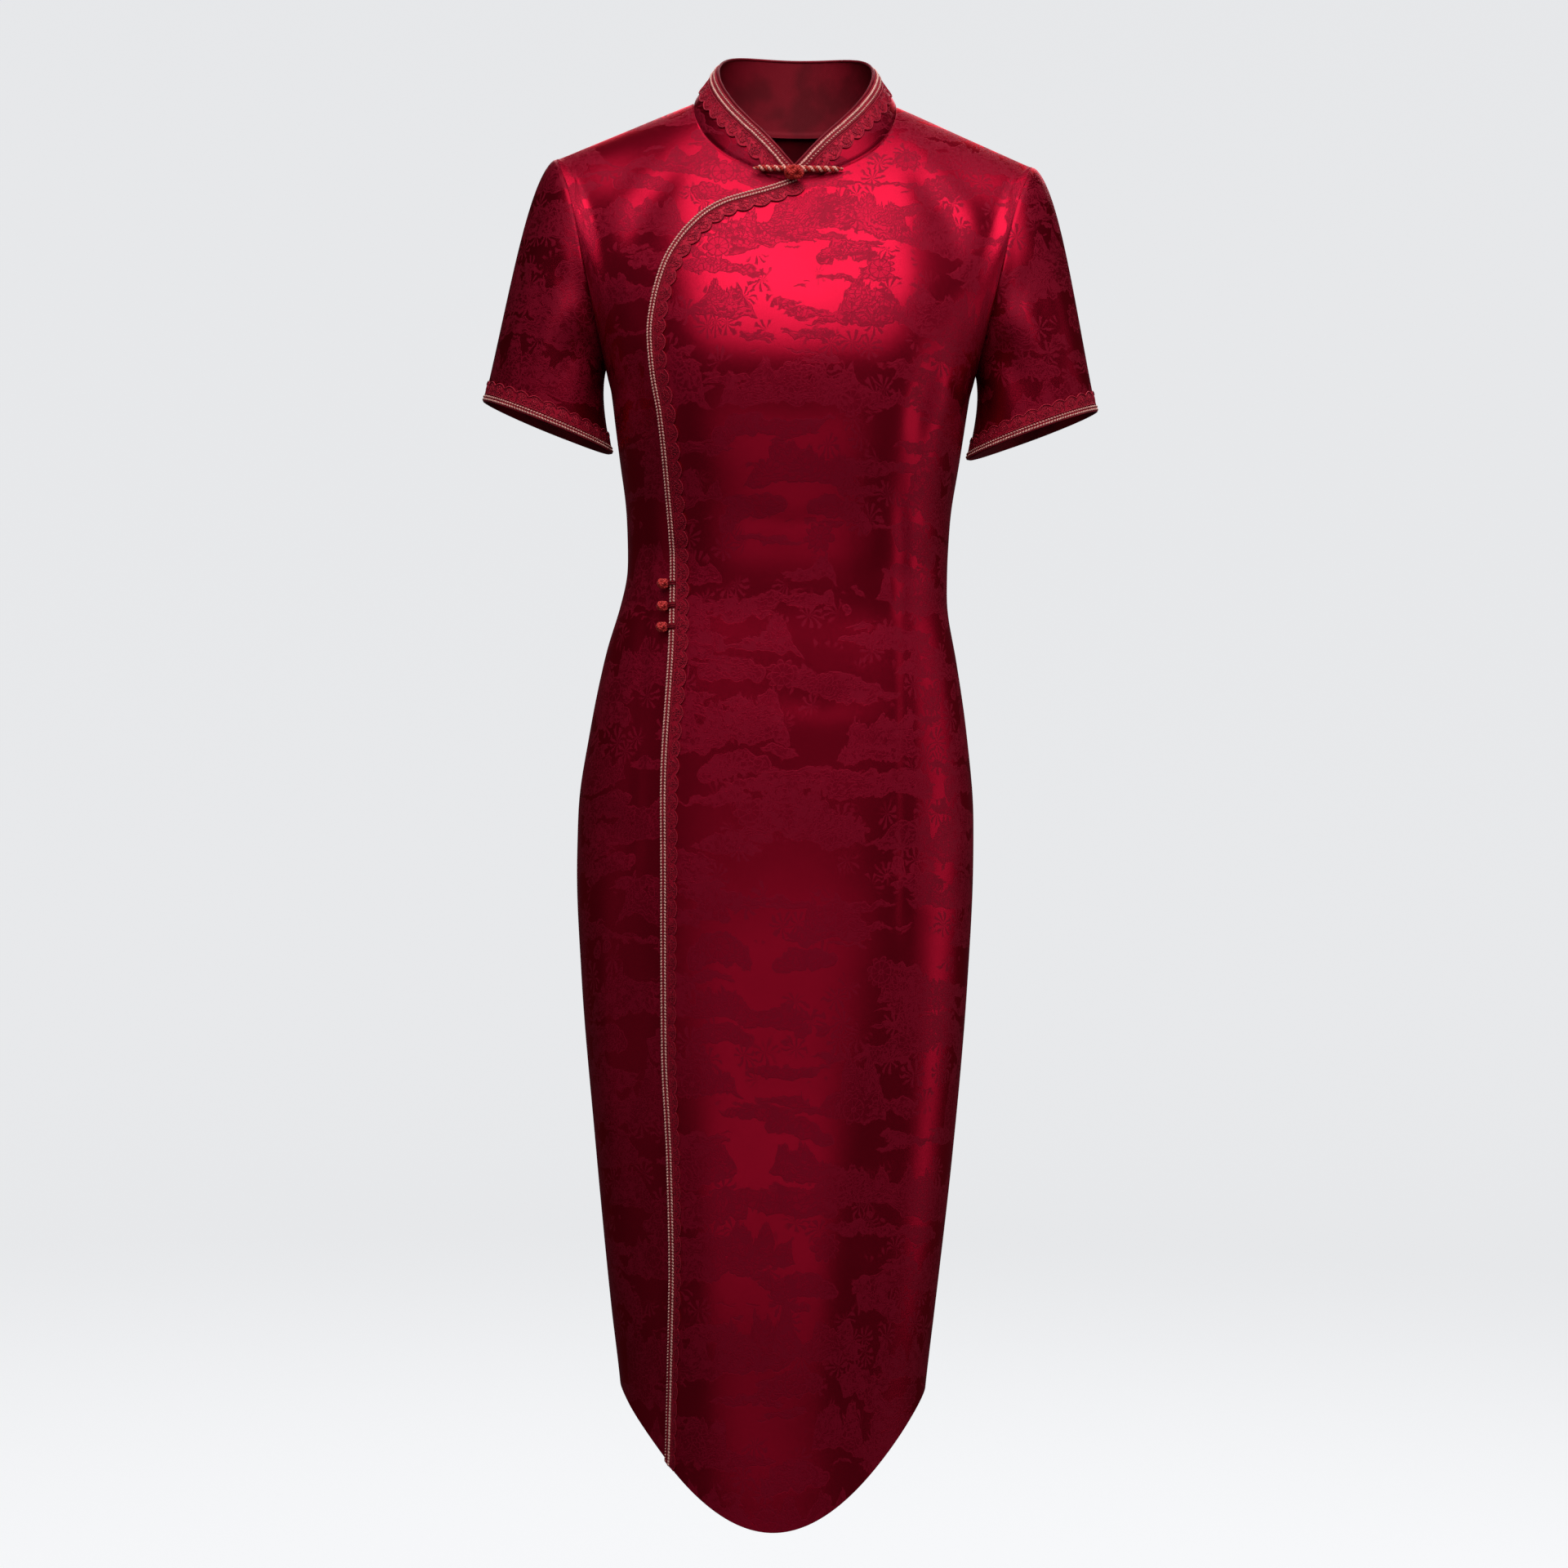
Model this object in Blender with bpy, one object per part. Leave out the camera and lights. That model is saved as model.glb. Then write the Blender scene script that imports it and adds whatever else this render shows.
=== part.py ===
"""Cheongsam: a mid-calf sheath dress of satin brocade, worn, with a stand collar, short
set-in sleeves, a slanted front opening edged in chain braid and scalloped lace, a neck
frog and three waist buttons.

Units are metres, +Z is up, +X is the wearer's left and +Y is the back. The origin is the
middle of the neck opening, level with the neck ends of the shoulder seams. Lengths down
the dress are given as distances below that level. A turn is an angle in radians.

Every cloth piece is a thin wall between an outer surface and the same surface moved in.
Trims are strips of the outer surface moved out.
"""

import math

import bmesh
import bpy
import numpy as np
from mathutils import Vector
from mathutils.bvhtree import BVHTree

# ---------------------------------------------------------------- general sizes
WALL = 0.0012           # thickness of the brocade with its interlining
SEAM_GAP = 0.0005       # space left between pieces that are sewn together
ARMHOLE_GAP = 0.0011    # the same space at the armholes, measured sideways
SEAM_SHARE = 0.00055    # the same space at the side seams, as a share of the width
STEP = 1e-4             # step used to measure slopes of a surface

# ---------------------------------------------------------------- body
BUST_BELOW = 0.235      # level of the fullest bust
BODY_COLUMNS = ("below", "half_width", "front", "back", "shift", "squareness")
BODY = (
    (0.235, 0.1420, 0.126, 0.099, 0.000, 2.45),
    (0.260, 0.1385, 0.123, 0.097, 0.000, 2.40),
    (0.285, 0.1350, 0.117, 0.095, 0.000, 2.35),
    (0.333, 0.1284, 0.103, 0.091, 0.000, 2.25),
    (0.374, 0.1270, 0.094, 0.089, 0.000, 2.20),
    (0.398, 0.1294, 0.093, 0.090, -0.002, 2.20),
    (0.439, 0.1390, 0.096, 0.098, -0.004, 2.20),
    (0.502, 0.1500, 0.101, 0.109, -0.005, 2.20),
    (0.566, 0.1572, 0.103, 0.115, -0.006, 2.20),
    (0.606, 0.1576, 0.103, 0.116, -0.006, 2.20),
    (0.697, 0.1535, 0.101, 0.110, -0.005, 2.15),
    (0.827, 0.1424, 0.098, 0.101, -0.003, 2.10),
    (0.957, 0.1287, 0.093, 0.094, -0.002, 2.05),
    (1.018, 0.1215, 0.090, 0.090, -0.001, 2.00),
    (1.118, 0.1130, 0.087, 0.087, 0.000, 2.00),
)
HEM_SIDE = 1.018        # hem at the side seams
HEM_DROP = 0.0995       # how much lower the hem is at the middle
HEM_ROUND = 1.95        # how round the hem curve is

# ---------------------------------------------------------------- neck and shoulders
NECK_HALF_WIDTH = 0.081
NECK_FRONT = 0.066          # from the shoulder seams to the front neck
NECK_BACK = 0.054           # from the shoulder seams to the back neck
NECK_SQUARENESS = 2.5       # 2 would be an oval neckline seen from above
NECK_BRIDGE = 0.034         # how steeply the shoulder line would go on over the neck
SHOULDER_TIP = (-0.189, 0.004, -0.046)
SIDE_NECK = (-0.081, 0.004, 0.000)

# ---------------------------------------------------------------- armholes
ARMHOLE_COLUMNS = ("below", "half_width")
ARMHOLE = (
    (0.046, 0.1890),
    (0.065, 0.1815),
    (0.085, 0.1745),
    (0.119, 0.1665),
    (0.158, 0.1580),
    (0.195, 0.1495),
    (0.212, 0.1460),
)
ARMHOLE_FRONT = 0.052       # how far the armhole comes forward
ARMHOLE_BACK = 0.054        # how far it goes back
TIP_AT = 0.19               # share of a panel's width where its armhole ends
NECK_AT = 0.33              # share of a panel's width where its neckline begins

# The line that pulls a panel outward just below its top edge, on the right half.
YOKE_COLUMNS = ("across", "x", "y", "z")
FRONT_YOKE = (
    (0.000, -0.1470, -0.002, -0.2200),
    (0.095, -0.1600, -0.057, -0.1590),
    (0.140, -0.1690, -0.056, -0.1060),
    (0.190, -0.1640, -0.038, -0.0600),
    (0.260, -0.1270, -0.033, -0.0330),
    (0.330, -0.0810, -0.029, -0.0080),
    (0.415, -0.0430, -0.036, -0.0212),
    (0.500, 0.0000, -0.043, -0.0433),
)
BACK_YOKE = (
    (0.000, -0.1470, 0.002, -0.2200),
    (0.095, -0.1600, 0.065, -0.1580),
    (0.140, -0.1690, 0.066, -0.1030),
    (0.190, -0.1640, 0.060, -0.0500),
    (0.260, -0.1270, 0.068, -0.0140),
    (0.330, -0.0810, 0.080, 0.0120),
    (0.415, -0.0430, 0.086, 0.0140),
    (0.500, 0.0000, 0.088, 0.0120),
)
ARRIVE_REACH = 0.40         # reach of the bust section upward, as a share of the way

# ---------------------------------------------------------------- sleeves
CUFF_CENTRE = (-0.1925, -0.002, -0.261)
CUFF_HALF_WIDTH = 0.0545
CUFF_HALF_DEPTH = 0.049
CUFF_TILT = math.radians(21.0)
# How a sleeve leaves the armhole and how it comes to the cuff, by place round the arm.
SLEEVE_COLUMNS = ("place", "out", "away", "down", "reach", "end_out", "end_reach")
SLEEVE = (
    (-1.0, 0.30, 0.00, 0.95, 0.020, -0.20, 0.019),      # under the arm
    (0.0, 0.45, 0.12, 0.88, 0.034, 0.18, 0.045),        # front and back
    (1.0, 0.91, 0.00, 0.41, 0.024, 0.23, 0.078),        # over the arm
)

# ---------------------------------------------------------------- collar
COLLAR_TOP_HALF_WIDTH = 0.062
COLLAR_TOP_MIDDLE = 0.002
COLLAR_TOP_REACH = 0.054    # from the middle to the top edge, front and back alike
COLLAR_TOP_FORWARD = 0.004  # how far the top edge's front and back lie ahead of that
COLLAR_TOP_SIDE = 0.026     # height of the top edge at the sides
COLLAR_TOP_SLOPE = 0.039    # fall of the top edge from the sides to the front
COLLAR_TOP_SAG = 0.020      # further fall of the top edge at the front and the back
COLLAR_SEAM_GAP = 0.0008    # between the collar and the panels
COLLAR_END_TURNS = (0.012, 0.055, 0.12, 0.20)   # close columns at each front end
COLLAR_ROWS = (0.0, 0.46, 0.79, 1.0)            # shares of the collar's height
COLLAR_END_COLUMNS = ("turn", "share")      # height kept near a front end
COLLAR_END = (
    (0.00, 0.24),
    (0.06, 0.40),
    (0.17, 0.62),
    (0.32, 0.80),
    (0.48, 0.91),
    (0.72, 0.98),
    (0.95, 1.00),
)

# ---------------------------------------------------------------- slanted opening
# The edge of the front panel, seen from the front: from the neck across the chest to the
# wearer's right, then down to the hem.
PLACKET_COLUMNS = ("x", "below")
PLACKET = (
    (0.0000, 0.0700),
    (-0.0205, 0.0783),
    (-0.0380, 0.0843),
    (-0.0555, 0.0907),
    (-0.0690, 0.0990),
    (-0.0803, 0.1097),
    (-0.0905, 0.1228),
    (-0.0990, 0.1380),
    (-0.1047, 0.1550),
    (-0.1087, 0.1740),
    (-0.1107, 0.1940),
    (-0.1077, 0.2270),
    (-0.1017, 0.2590),
    (-0.0962, 0.3070),
    (-0.0907, 0.3800),
    (-0.0907, 0.4160),
    (-0.0952, 0.5420),
    (-0.0942, 0.5970),
    (-0.0912, 0.7470),
    (-0.0857, 0.8360),
    (-0.0827, 0.9330),
    (-0.0837, 1.0700),
)
UNDERLAP = 0.018            # width of the side front under the opening's edge
UNDERLAP_DEPTH = WALL + 0.0008   # how far below the front panel's surface it lies
UNDERLAP_EASE = 0.55        # share of its width over which it comes back to the surface
HEM_FROM = 1.75             # place down the body where trims begin to turn level

# ---------------------------------------------------------------- trims
TRIM_LIFT = 0.0009          # space between a panel and a trim on it
LAY_REACH = 0.004           # how far from a surface its flat faces are looked for
BRAID_WIDTH = 0.0055
BRAID_THICKNESS = 0.0014
LACE_THICKNESS = 0.0010
LACE_SPACE = 0.0005         # between braid and lace
SCALLOP_STATIONS = 3        # stations for each scallop
PLACKET_SCALLOPS = 78
PLACKET_LACE_COLUMNS = ("below", "width", "lobe")
PLACKET_LACE = (
    (0.070, 0.0120, 0.0035),
    (0.400, 0.0115, 0.0035),
    (0.600, 0.0085, 0.0028),
    (0.750, 0.0070, 0.0024),
    (0.950, 0.0050, 0.0018),
    (1.075, 0.0045, 0.0016),
)
COLLAR_BRAID_WIDTH = 0.0080
COLLAR_LACE_WIDTH = 0.0120
COLLAR_LACE_LOBE = 0.0035
COLLAR_SCALLOPS = 32
COLLAR_TURN_LIMIT = 0.92    # limit on how far the trims follow the collar's rounded ends
COLLAR_LACE_FIRST = 3       # collar columns at each end with no lace
COLLAR_LACE_LOWEST = 0.12   # place up the collar that the lace keeps above
COLLAR_BRAID_LOWEST = 0.03  # place up the collar that the braid keeps above
CUFF_BRAID_WIDTH = 0.0050
CUFF_LACE_WIDTH = 0.0110
CUFF_LACE_LOBE = 0.0030
CUFF_LACE_SPACE = 0.0009    # between the cuff's braid and its lace
CUFF_SCALLOPS = 27

# ---------------------------------------------------------------- closures
FROG_CORD_RADIUS = 0.0022
FROG_LIFT = 0.0046          # cord's middle above the collar
FROG_HEIGHT = 0.10          # place of the arms up the collar, as a share of its height
FROG_TURNS = (0.10, 0.50)   # turns from the middle between which an arm lies
KNOT_RADII = (0.0068, 0.0055, 0.0058)
KNOT_CENTRE = (0.0, -0.0711, -0.0672)
BUTTON_RADIUS = 0.0041
BUTTON_BELOWS = (0.3870, 0.4045, 0.4210)
BUTTON_OUT = 0.0048         # from the front panel's edge to a button's middle
CORD_GAP = 0.0004           # between a button or loop and what it lies on
LOOP_RADIUS = 0.0014
LOOP_LENGTH = 0.0050
LOOP_START = 0.0006         # from the opening's edge to the loop's end at the button
LOOP_LIFT = TRIM_LIFT + BRAID_THICKNESS + CORD_GAP + LOOP_RADIUS
LOOP_ARCH = 0.0003
LOOP_STATIONS = 4

# ---------------------------------------------------------------- mesh fineness
NECK_COLUMNS = 5
SHOULDER_COLUMNS = 3
ARM_COLUMNS = 8
CHEST_ROWS = 14
FAN_ROWS = 6                # rows over which the columns spread to even widths
FRONT_LOW_SHARES = (0.0, 0.020, 0.056)      # columns along the braid and the lace
SKIRT_ROWS = (0.0, 0.035, 0.07, 0.10, 0.125, 0.15, 0.175, 0.20, 0.23, 0.27, 0.32, 0.38,
              0.44, 0.51, 0.59, 0.67, 0.76, 0.84, 0.92, 1.0)
BACK_SKIRT_ROWS = (0.05, 0.10, 0.14, 0.17, 0.20, 0.24, 0.30, 0.37, 0.45, 0.55, 0.66, 0.78,
                   0.89, 1.0)
BACK_CHEST_ROWS = 7
SLEEVE_ROWS = 7

COLOURS = {
    "satin": ((0.42, 0.012, 0.035), 0.38, 0.0),
    "dark_satin": ((0.30, 0.008, 0.025), 0.45, 0.0),
    "lace": ((0.36, 0.010, 0.025), 0.80, 0.0),
    "braid": ((0.62, 0.40, 0.20), 0.55, 0.0),
    "cord": ((0.70, 0.06, 0.04), 0.50, 0.0),
}


# ================================================================ small maths
def column(rows, names, name):
    """One named column of a table."""
    return np.array([row[names.index(name)] for row in rows])


def smooth(places, values, at):
    """Smooth curve through a table's values that never swings past them."""
    at = np.clip(np.asarray(at, float), places[0], places[-1])
    steps = np.diff(places)
    slopes = np.diff(values) / steps
    bends = np.zeros(len(values))
    bends[0], bends[-1] = slopes[0], slopes[-1]
    before, after = slopes[:-1], slopes[1:]
    same_way = before * after > 0
    safe_sum = np.where(same_way, before + after, 1.0)
    bends[1:-1] = np.where(same_way, 2 * before * after / safe_sum, 0.0)
    k = np.clip(np.searchsorted(places, at, side="right") - 1, 0, len(steps) - 1)
    t = (at - places[k]) / steps[k]
    rise = values[k] + t * t * (3 - 2 * t) * (values[k + 1] - values[k])
    start = t * (1 - t) ** 2 * bends[k] * steps[k]
    end = t * t * (t - 1) * bends[k + 1] * steps[k]
    return rise + start + end


def look_up(rows, names, key, name, at):
    """Smooth value of a table's column where its key column has the given value."""
    return smooth(column(rows, names, key), column(rows, names, name), at)


def stack(x, y, z):
    return np.stack(np.broadcast_arrays(x, y, z), axis=-1).astype(float)


def unit(vectors):
    lengths = np.linalg.norm(vectors, axis=-1, keepdims=True)
    return vectors / np.maximum(lengths, 1e-12)


def bezier(start, leave, arrive, end, t):
    t = np.asarray(t, float)[..., None]
    return ((1 - t) ** 3 * start + 3 * t * (1 - t) ** 2 * leave
            + 3 * t * t * (1 - t) * arrive + t ** 3 * end)


def ease(t):
    t = np.clip(t, 0.0, 1.0)
    return t * t * (3 - 2 * t)


# ================================================================ surfaces
def body_ring(turn, below):
    """Point on the body: turn 0 at the wearer's right seam, then the front, a half turn
    at the left seam, then the back."""
    def size(name):
        return look_up(BODY, BODY_COLUMNS, "below", name, below)
    power = 2.0 / size("squareness")
    c, s = np.cos(turn), np.sin(turn)
    x = size("shift") - size("half_width") * np.sign(c) * np.abs(c) ** power
    depth = np.where(s >= 0, -size("front"), size("back"))
    return stack(x, depth * np.abs(s) ** power, -np.asarray(below, float))


def hem_below(turn):
    return HEM_SIDE + HEM_DROP * np.abs(np.sin(turn)) ** HEM_ROUND


def armhole(turn):
    """Right armhole: shoulder tip at 0, the front at a quarter turn, then the underarm."""
    top, bottom = ARMHOLE[0][0], ARMHOLE[-1][0]
    c, s = np.cos(turn), np.sin(turn)
    below = (top + bottom) / 2 - (bottom - top) / 2 * c
    x = -look_up(ARMHOLE, ARMHOLE_COLUMNS, "below", "half_width", below)
    reach = np.where(s >= 0, ARMHOLE_FRONT, ARMHOLE_BACK)
    return stack(x, SHOULDER_TIP[1] * (1 + c) / 2 - reach * s, -below)


def mirrored(points, flip):
    """The same points with x turned round where flip is true."""
    sign = np.where(flip, -1.0, 1.0)
    return points * np.stack([sign, np.ones_like(sign), np.ones_like(sign)], axis=-1)


def start_line(near, way):
    """The line a panel's right half hangs from: armhole, shoulder seam, and the shoulder
    line carried on over the neck."""
    arm = armhole(way * math.pi * (1 - np.clip(near / TIP_AT, 0, 1)))
    share = np.clip((near - TIP_AT) / (NECK_AT - TIP_AT), 0, 1)[..., None]
    tip, side_neck = np.array(SHOULDER_TIP), np.array(SIDE_NECK)
    seam_side = np.array([0, way * SEAM_GAP / 2, 0])
    shoulder = tip + (side_neck - tip) * share - seam_side
    over = np.clip((near - NECK_AT) / (0.5 - NECK_AT), 0, 1)
    neck = side_neck - seam_side + stack(-side_neck[0] * over, 0 * over,
                                         NECK_BRIDGE * (over - over * over / 2))
    line = np.where((near < TIP_AT)[..., None], arm, shoulder)
    return np.where((near > NECK_AT)[..., None], neck, line)


def yoke_line(near, way):
    """The line that pulls a panel's right half outward. The rows just before the middle
    are repeated behind it, mirrored, so that the line runs smoothly through it."""
    yoke = FRONT_YOKE if way > 0 else BACK_YOKE
    across, x, y, z = (column(yoke, YOKE_COLUMNS, name) for name in YOKE_COLUMNS)
    across = np.append(across, 1 - across[-2])
    return stack(smooth(across, np.append(x, -x[-2]), near),
                 smooth(across, np.append(y, y[-2]), near),
                 smooth(across, np.append(z, z[-2]), near))


def body_point(across, down, way):
    """Point on the body's front (way 1) or back (way -1), as if it had no neck opening.
    Across runs from the wearer's right seam, 0, to the left seam, 1. Down runs from the
    shoulders and armholes, 0, over the bust level, 1, to the hem, 2."""
    across = np.clip(np.asarray(across, float), SEAM_SHARE, 1 - SEAM_SHARE)
    across, down = np.broadcast_arrays(across, np.clip(np.asarray(down, float), 0, 2))
    flip = across > 0.5
    near = np.where(flip, 1 - across, across)
    turn = way * math.pi * across
    low = np.clip(down - 1, 0, 1)
    lower = body_ring(turn, BUST_BELOW + (hem_below(turn) - BUST_BELOW) * low)
    start = mirrored(start_line(near, way), flip)
    first = mirrored(yoke_line(near, way), flip)
    end = body_ring(turn, np.full_like(turn, BUST_BELOW))
    under = body_ring(turn, np.full_like(turn, BUST_BELOW + 0.002))
    reach = ARRIVE_REACH * np.linalg.norm(end - first, axis=-1)
    last = end - unit(under - end) * reach[..., None]
    upper = bezier(start, first, last, end, np.clip(down, 0, 1))
    return np.where((down < 1)[..., None], upper, lower)


def front_point(across, down):
    return body_point(across, down, 1)


def back_point(across, down):
    return body_point(across, down, -1)


def panel_top(across, way):
    """How far down the body a panel's top edge lies: more than 0 at the neck opening."""
    across = np.asarray(across, float)
    reach = NECK_FRONT if way > 0 else NECK_BACK
    low, high = np.zeros_like(across), np.full_like(across, 0.8)
    for _ in range(26):
        middle = (low + high) / 2
        point = body_point(across, middle, way)
        wide = np.abs(point[..., 0] / NECK_HALF_WIDTH) ** NECK_SQUARENESS
        deep = np.abs((point[..., 1] - SIDE_NECK[1]) / reach) ** NECK_SQUARENESS
        inside = wide + deep < 1
        low, high = np.where(inside, middle, low), np.where(inside, high, middle)
    return np.where(np.minimum(across, 1 - across) > NECK_AT, low, 0.0)


def neck_across(turn):
    """Place across a panel of a turn round the neck, which starts at the right shoulder
    seam and comes round by the front."""
    near = NECK_AT + (0.5 - NECK_AT) * (1 - np.abs(np.cos(turn)))
    return np.where(np.cos(turn) < 0, 1 - near, near)


def neckline(turn):
    turn = np.asarray(turn, float)
    across = neck_across(turn)
    front = body_point(across, panel_top(across, 1), 1)
    back = body_point(across, panel_top(across, -1), -1)
    return np.where((np.sin(turn) >= 0)[..., None], front, back)


def sleeve_point(turn, along):
    """Point on the right sleeve, from the armhole, 0, to the cuff, 1."""
    turn, along = np.broadcast_arrays(np.asarray(turn, float), np.asarray(along, float))
    c, s = np.cos(turn), np.sin(turn)
    def size(name):
        return look_up(SLEEVE, SLEEVE_COLUMNS, "place", name, c)
    outward = stack(-size("out"), -np.sign(s) * size("away") * np.abs(s), -size("down"))
    start = armhole(turn) + ARMHOLE_GAP * unit(stack(-1.0, 0.0, -0.3 * (1 + c)))
    side = np.array([-math.cos(CUFF_TILT), 0, math.sin(CUFF_TILT)])
    end = (np.array(CUFF_CENTRE) + side * (CUFF_HALF_WIDTH * c)[..., None]
           + np.array([0, -1, 0]) * (CUFF_HALF_DEPTH * s)[..., None])
    inward = unit(stack(-size("end_out"), np.zeros_like(c), -np.ones_like(c)))
    first = start + unit(outward) * size("reach")[..., None]
    last = end - inward * size("end_reach")[..., None]
    return bezier(start, first, last, end, along)


def collar_point(turn, up):
    """Point on the collar: turns as on the neckline, up from the seam, 0, to the top
    edge, 1."""
    turn, up = np.broadcast_arrays(np.asarray(turn, float), np.asarray(up, float))
    c, s = np.cos(turn), np.sin(turn)
    depth = COLLAR_TOP_MIDDLE - COLLAR_TOP_REACH * s - COLLAR_TOP_FORWARD * s * s
    height = COLLAR_TOP_SIDE - COLLAR_TOP_SLOPE * s - COLLAR_TOP_SAG * s * s
    top = stack(-COLLAR_TOP_HALF_WIDTH * c, depth, height)
    part = math.pi / 2 / NECK_COLUMNS
    before = np.floor(turn / part + 1e-9)
    share = (turn / part - before)[..., None]
    base = neckline(before * part) * (1 - share) + neckline((before + 1) * part) * share
    base = base + np.array([0, 0, COLLAR_SEAM_GAP])
    return base + (top - base) * up[..., None]


def collar_height(turn):
    """Share of its height that the collar keeps, which rounds its front corners."""
    from_middle = np.abs((np.asarray(turn, float) - math.pi / 2 + math.pi) % (2 * math.pi)
                         - math.pi)
    return look_up(COLLAR_END, COLLAR_END_COLUMNS, "turn", "share", from_middle)


# ================================================================ moving on a surface
def slopes(surface, a, b, a_range, b_range):
    a0, a1 = np.clip(a - STEP, *a_range), np.clip(a + STEP, *a_range)
    b0, b1 = np.clip(b - STEP, *b_range), np.clip(b + STEP, *b_range)
    along_a = (surface(a1, b) - surface(a0, b)) / (a1 - a0)[..., None]
    along_b = (surface(a, b1) - surface(a, b0)) / (b1 - b0)[..., None]
    return along_a, along_b


def outward(surface, a, b, a_range, b_range, inside):
    """Unit normal that points away from the points named inside."""
    along_a, along_b = slopes(surface, a, b, a_range, b_range)
    normal = unit(np.cross(along_a, along_b))
    away = np.sum(normal * (surface(a, b) - inside), axis=-1, keepdims=True)
    return normal * np.where(away < 0, -1.0, 1.0)


def slide(surface, a, b, heading, distance, a_range, b_range, steps=4):
    """Place on the surface reached by going a distance along a heading."""
    for _ in range(steps):
        along_a, along_b = slopes(surface, a, b, a_range, b_range)
        aa = np.sum(along_a * along_a, axis=-1)
        ab = np.sum(along_a * along_b, axis=-1)
        bb = np.sum(along_b * along_b, axis=-1)
        flat = unit(heading - unit(np.cross(along_a, along_b))
                    * np.sum(heading * unit(np.cross(along_a, along_b)), axis=-1, keepdims=True))
        move = flat * (distance / steps)[..., None]
        ma, mb = np.sum(along_a * move, axis=-1), np.sum(along_b * move, axis=-1)
        det = aa * bb - ab * ab
        a = a + (ma * bb - mb * ab) / det
        b = b + (mb * aa - ma * ab) / det
        a, b = np.clip(a, *a_range), np.clip(b, *b_range)
    return a, b


# Ranges that places on the surfaces keep to.
PANEL_ACROSS = (SEAM_SHARE, 1 - SEAM_SHARE)
PANEL_DOWN = (0.0, 2.0)
TURNS = (-2 * math.pi, 4 * math.pi)
SHARES = (0.0, 1.0)


def body_axis(points):
    """Points in the middle of the body, level with or a little below the given ones."""
    return points * np.array([0, 0, 1.0]) + np.array([0, 0, -0.06])


def panel_normal(across, down, way):
    surface = front_point if way > 0 else back_point
    return outward(surface, across, down, PANEL_ACROSS, PANEL_DOWN,
                   body_axis(surface(across, down)))


def sleeve_normal(turn, along):
    middle = (sleeve_point(turn, along) + sleeve_point(turn + math.pi, along)) / 2
    return outward(sleeve_point, turn, along, TURNS, SHARES, middle)


def collar_normal(turn, up):
    points = collar_point(turn, up)
    return outward(collar_point, turn, up, TURNS, SHARES, points * np.array([0, 0, 1.0]))


# ================================================================ the opening's path
def find_on_front(x, below):
    """Place on the front surface of a point seen from the front."""
    across, down = 0.5 + x * 1.6, np.clip(below / BUST_BELOW, 0.3, 1.6)
    for _ in range(80):
        point = front_point(across, down)
        along_a, along_b = slopes(front_point, across, down, PANEL_ACROSS, PANEL_DOWN)
        dx, dz = x - point[..., 0], -below - point[..., 2]
        det = along_a[..., 0] * along_b[..., 2] - along_b[..., 0] * along_a[..., 2]
        det = np.where(np.abs(det) < 1e-6, 1e-6, det)
        move_a = (dx * along_b[..., 2] - dz * along_b[..., 0]) / det
        move_b = (dz * along_a[..., 0] - dx * along_a[..., 2]) / det
        across = np.clip(across + np.clip(move_a, -0.03, 0.03), 0.02, 0.98)
        down = np.clip(down + np.clip(move_b, -0.06, 0.06), 0.0, 2.0)
    return across, down


def running_length(points):
    steps = np.linalg.norm(np.diff(points, axis=0), axis=1)
    return np.concatenate([[0], np.cumsum(steps)])


def placket_path():
    """The opening's edge on the front surface: its length so far and its places."""
    across, down = find_on_front(column(PLACKET, PLACKET_COLUMNS, "x"),
                                 column(PLACKET, PLACKET_COLUMNS, "below"))
    across[0], down[0] = 0.5, panel_top(np.array(0.5), 1)
    down[-1] = 2.0
    return running_length(front_point(across, down)), across, down


PATH_LENGTH, PATH_ACROSS, PATH_DOWN = placket_path()


def placket_place(length):
    """Place on the front surface at a length along the opening's edge."""
    return smooth(PATH_LENGTH, PATH_ACROSS, length), smooth(PATH_LENGTH, PATH_DOWN, length)


def stations():
    """Stations of the front pieces, as lengths along the opening: even over the chest,
    then closer at the waist than on the skirt."""
    fine = np.linspace(0, PATH_LENGTH[-1], 3000)
    down = placket_place(fine)[1]
    bust = fine[np.argmax(down >= 1)]
    chest = np.linspace(0, bust, CHEST_ROWS + 1)[:-1]
    skirt = np.interp(1 + np.array(SKIRT_ROWS), down[fine >= bust], fine[fine >= bust])
    return np.concatenate([chest, skirt])


def opening_line(lengths, distance):
    """Places on the front surface that keep a distance inside the opening's edge. Near
    the hem they keep level with it."""
    across, down = placket_place(lengths)
    edge = front_point(across, down)
    normal = panel_normal(across, down, 1)
    square = unit(np.cross(normal, unit(np.gradient(edge, axis=0))))
    level = unit(slopes(front_point, across, down, PANEL_ACROSS, PANEL_DOWN)[0])
    near_hem = ease((down - HEM_FROM) / (2 - HEM_FROM) * 1.2)[:, None]
    aim = unit(square * (1 - near_hem) + level * near_hem)
    length = distance / np.sum(aim * square, axis=1)
    a, b = slide(front_point, across, down, aim, length, PANEL_ACROSS, PANEL_DOWN)
    return a, np.where(down > 1.9999, 2.0, b)


def front_line(lengths, distance):
    """Points and normals of such a line."""
    places = opening_line(lengths, distance)
    return front_point(*places), panel_normal(*places, 1)


# ================================================================ solids
def material(name, recipe):
    colour, roughness, metallic = COLOURS[recipe]
    made = bpy.data.materials.new(name + "_finish")
    made.use_nodes = True
    shader = made.node_tree.nodes["Principled BSDF"]
    shader.inputs["Base Color"].default_value = (*colour, 1.0)
    shader.inputs["Roughness"].default_value = roughness
    shader.inputs["Metallic"].default_value = metallic
    return made


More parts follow.
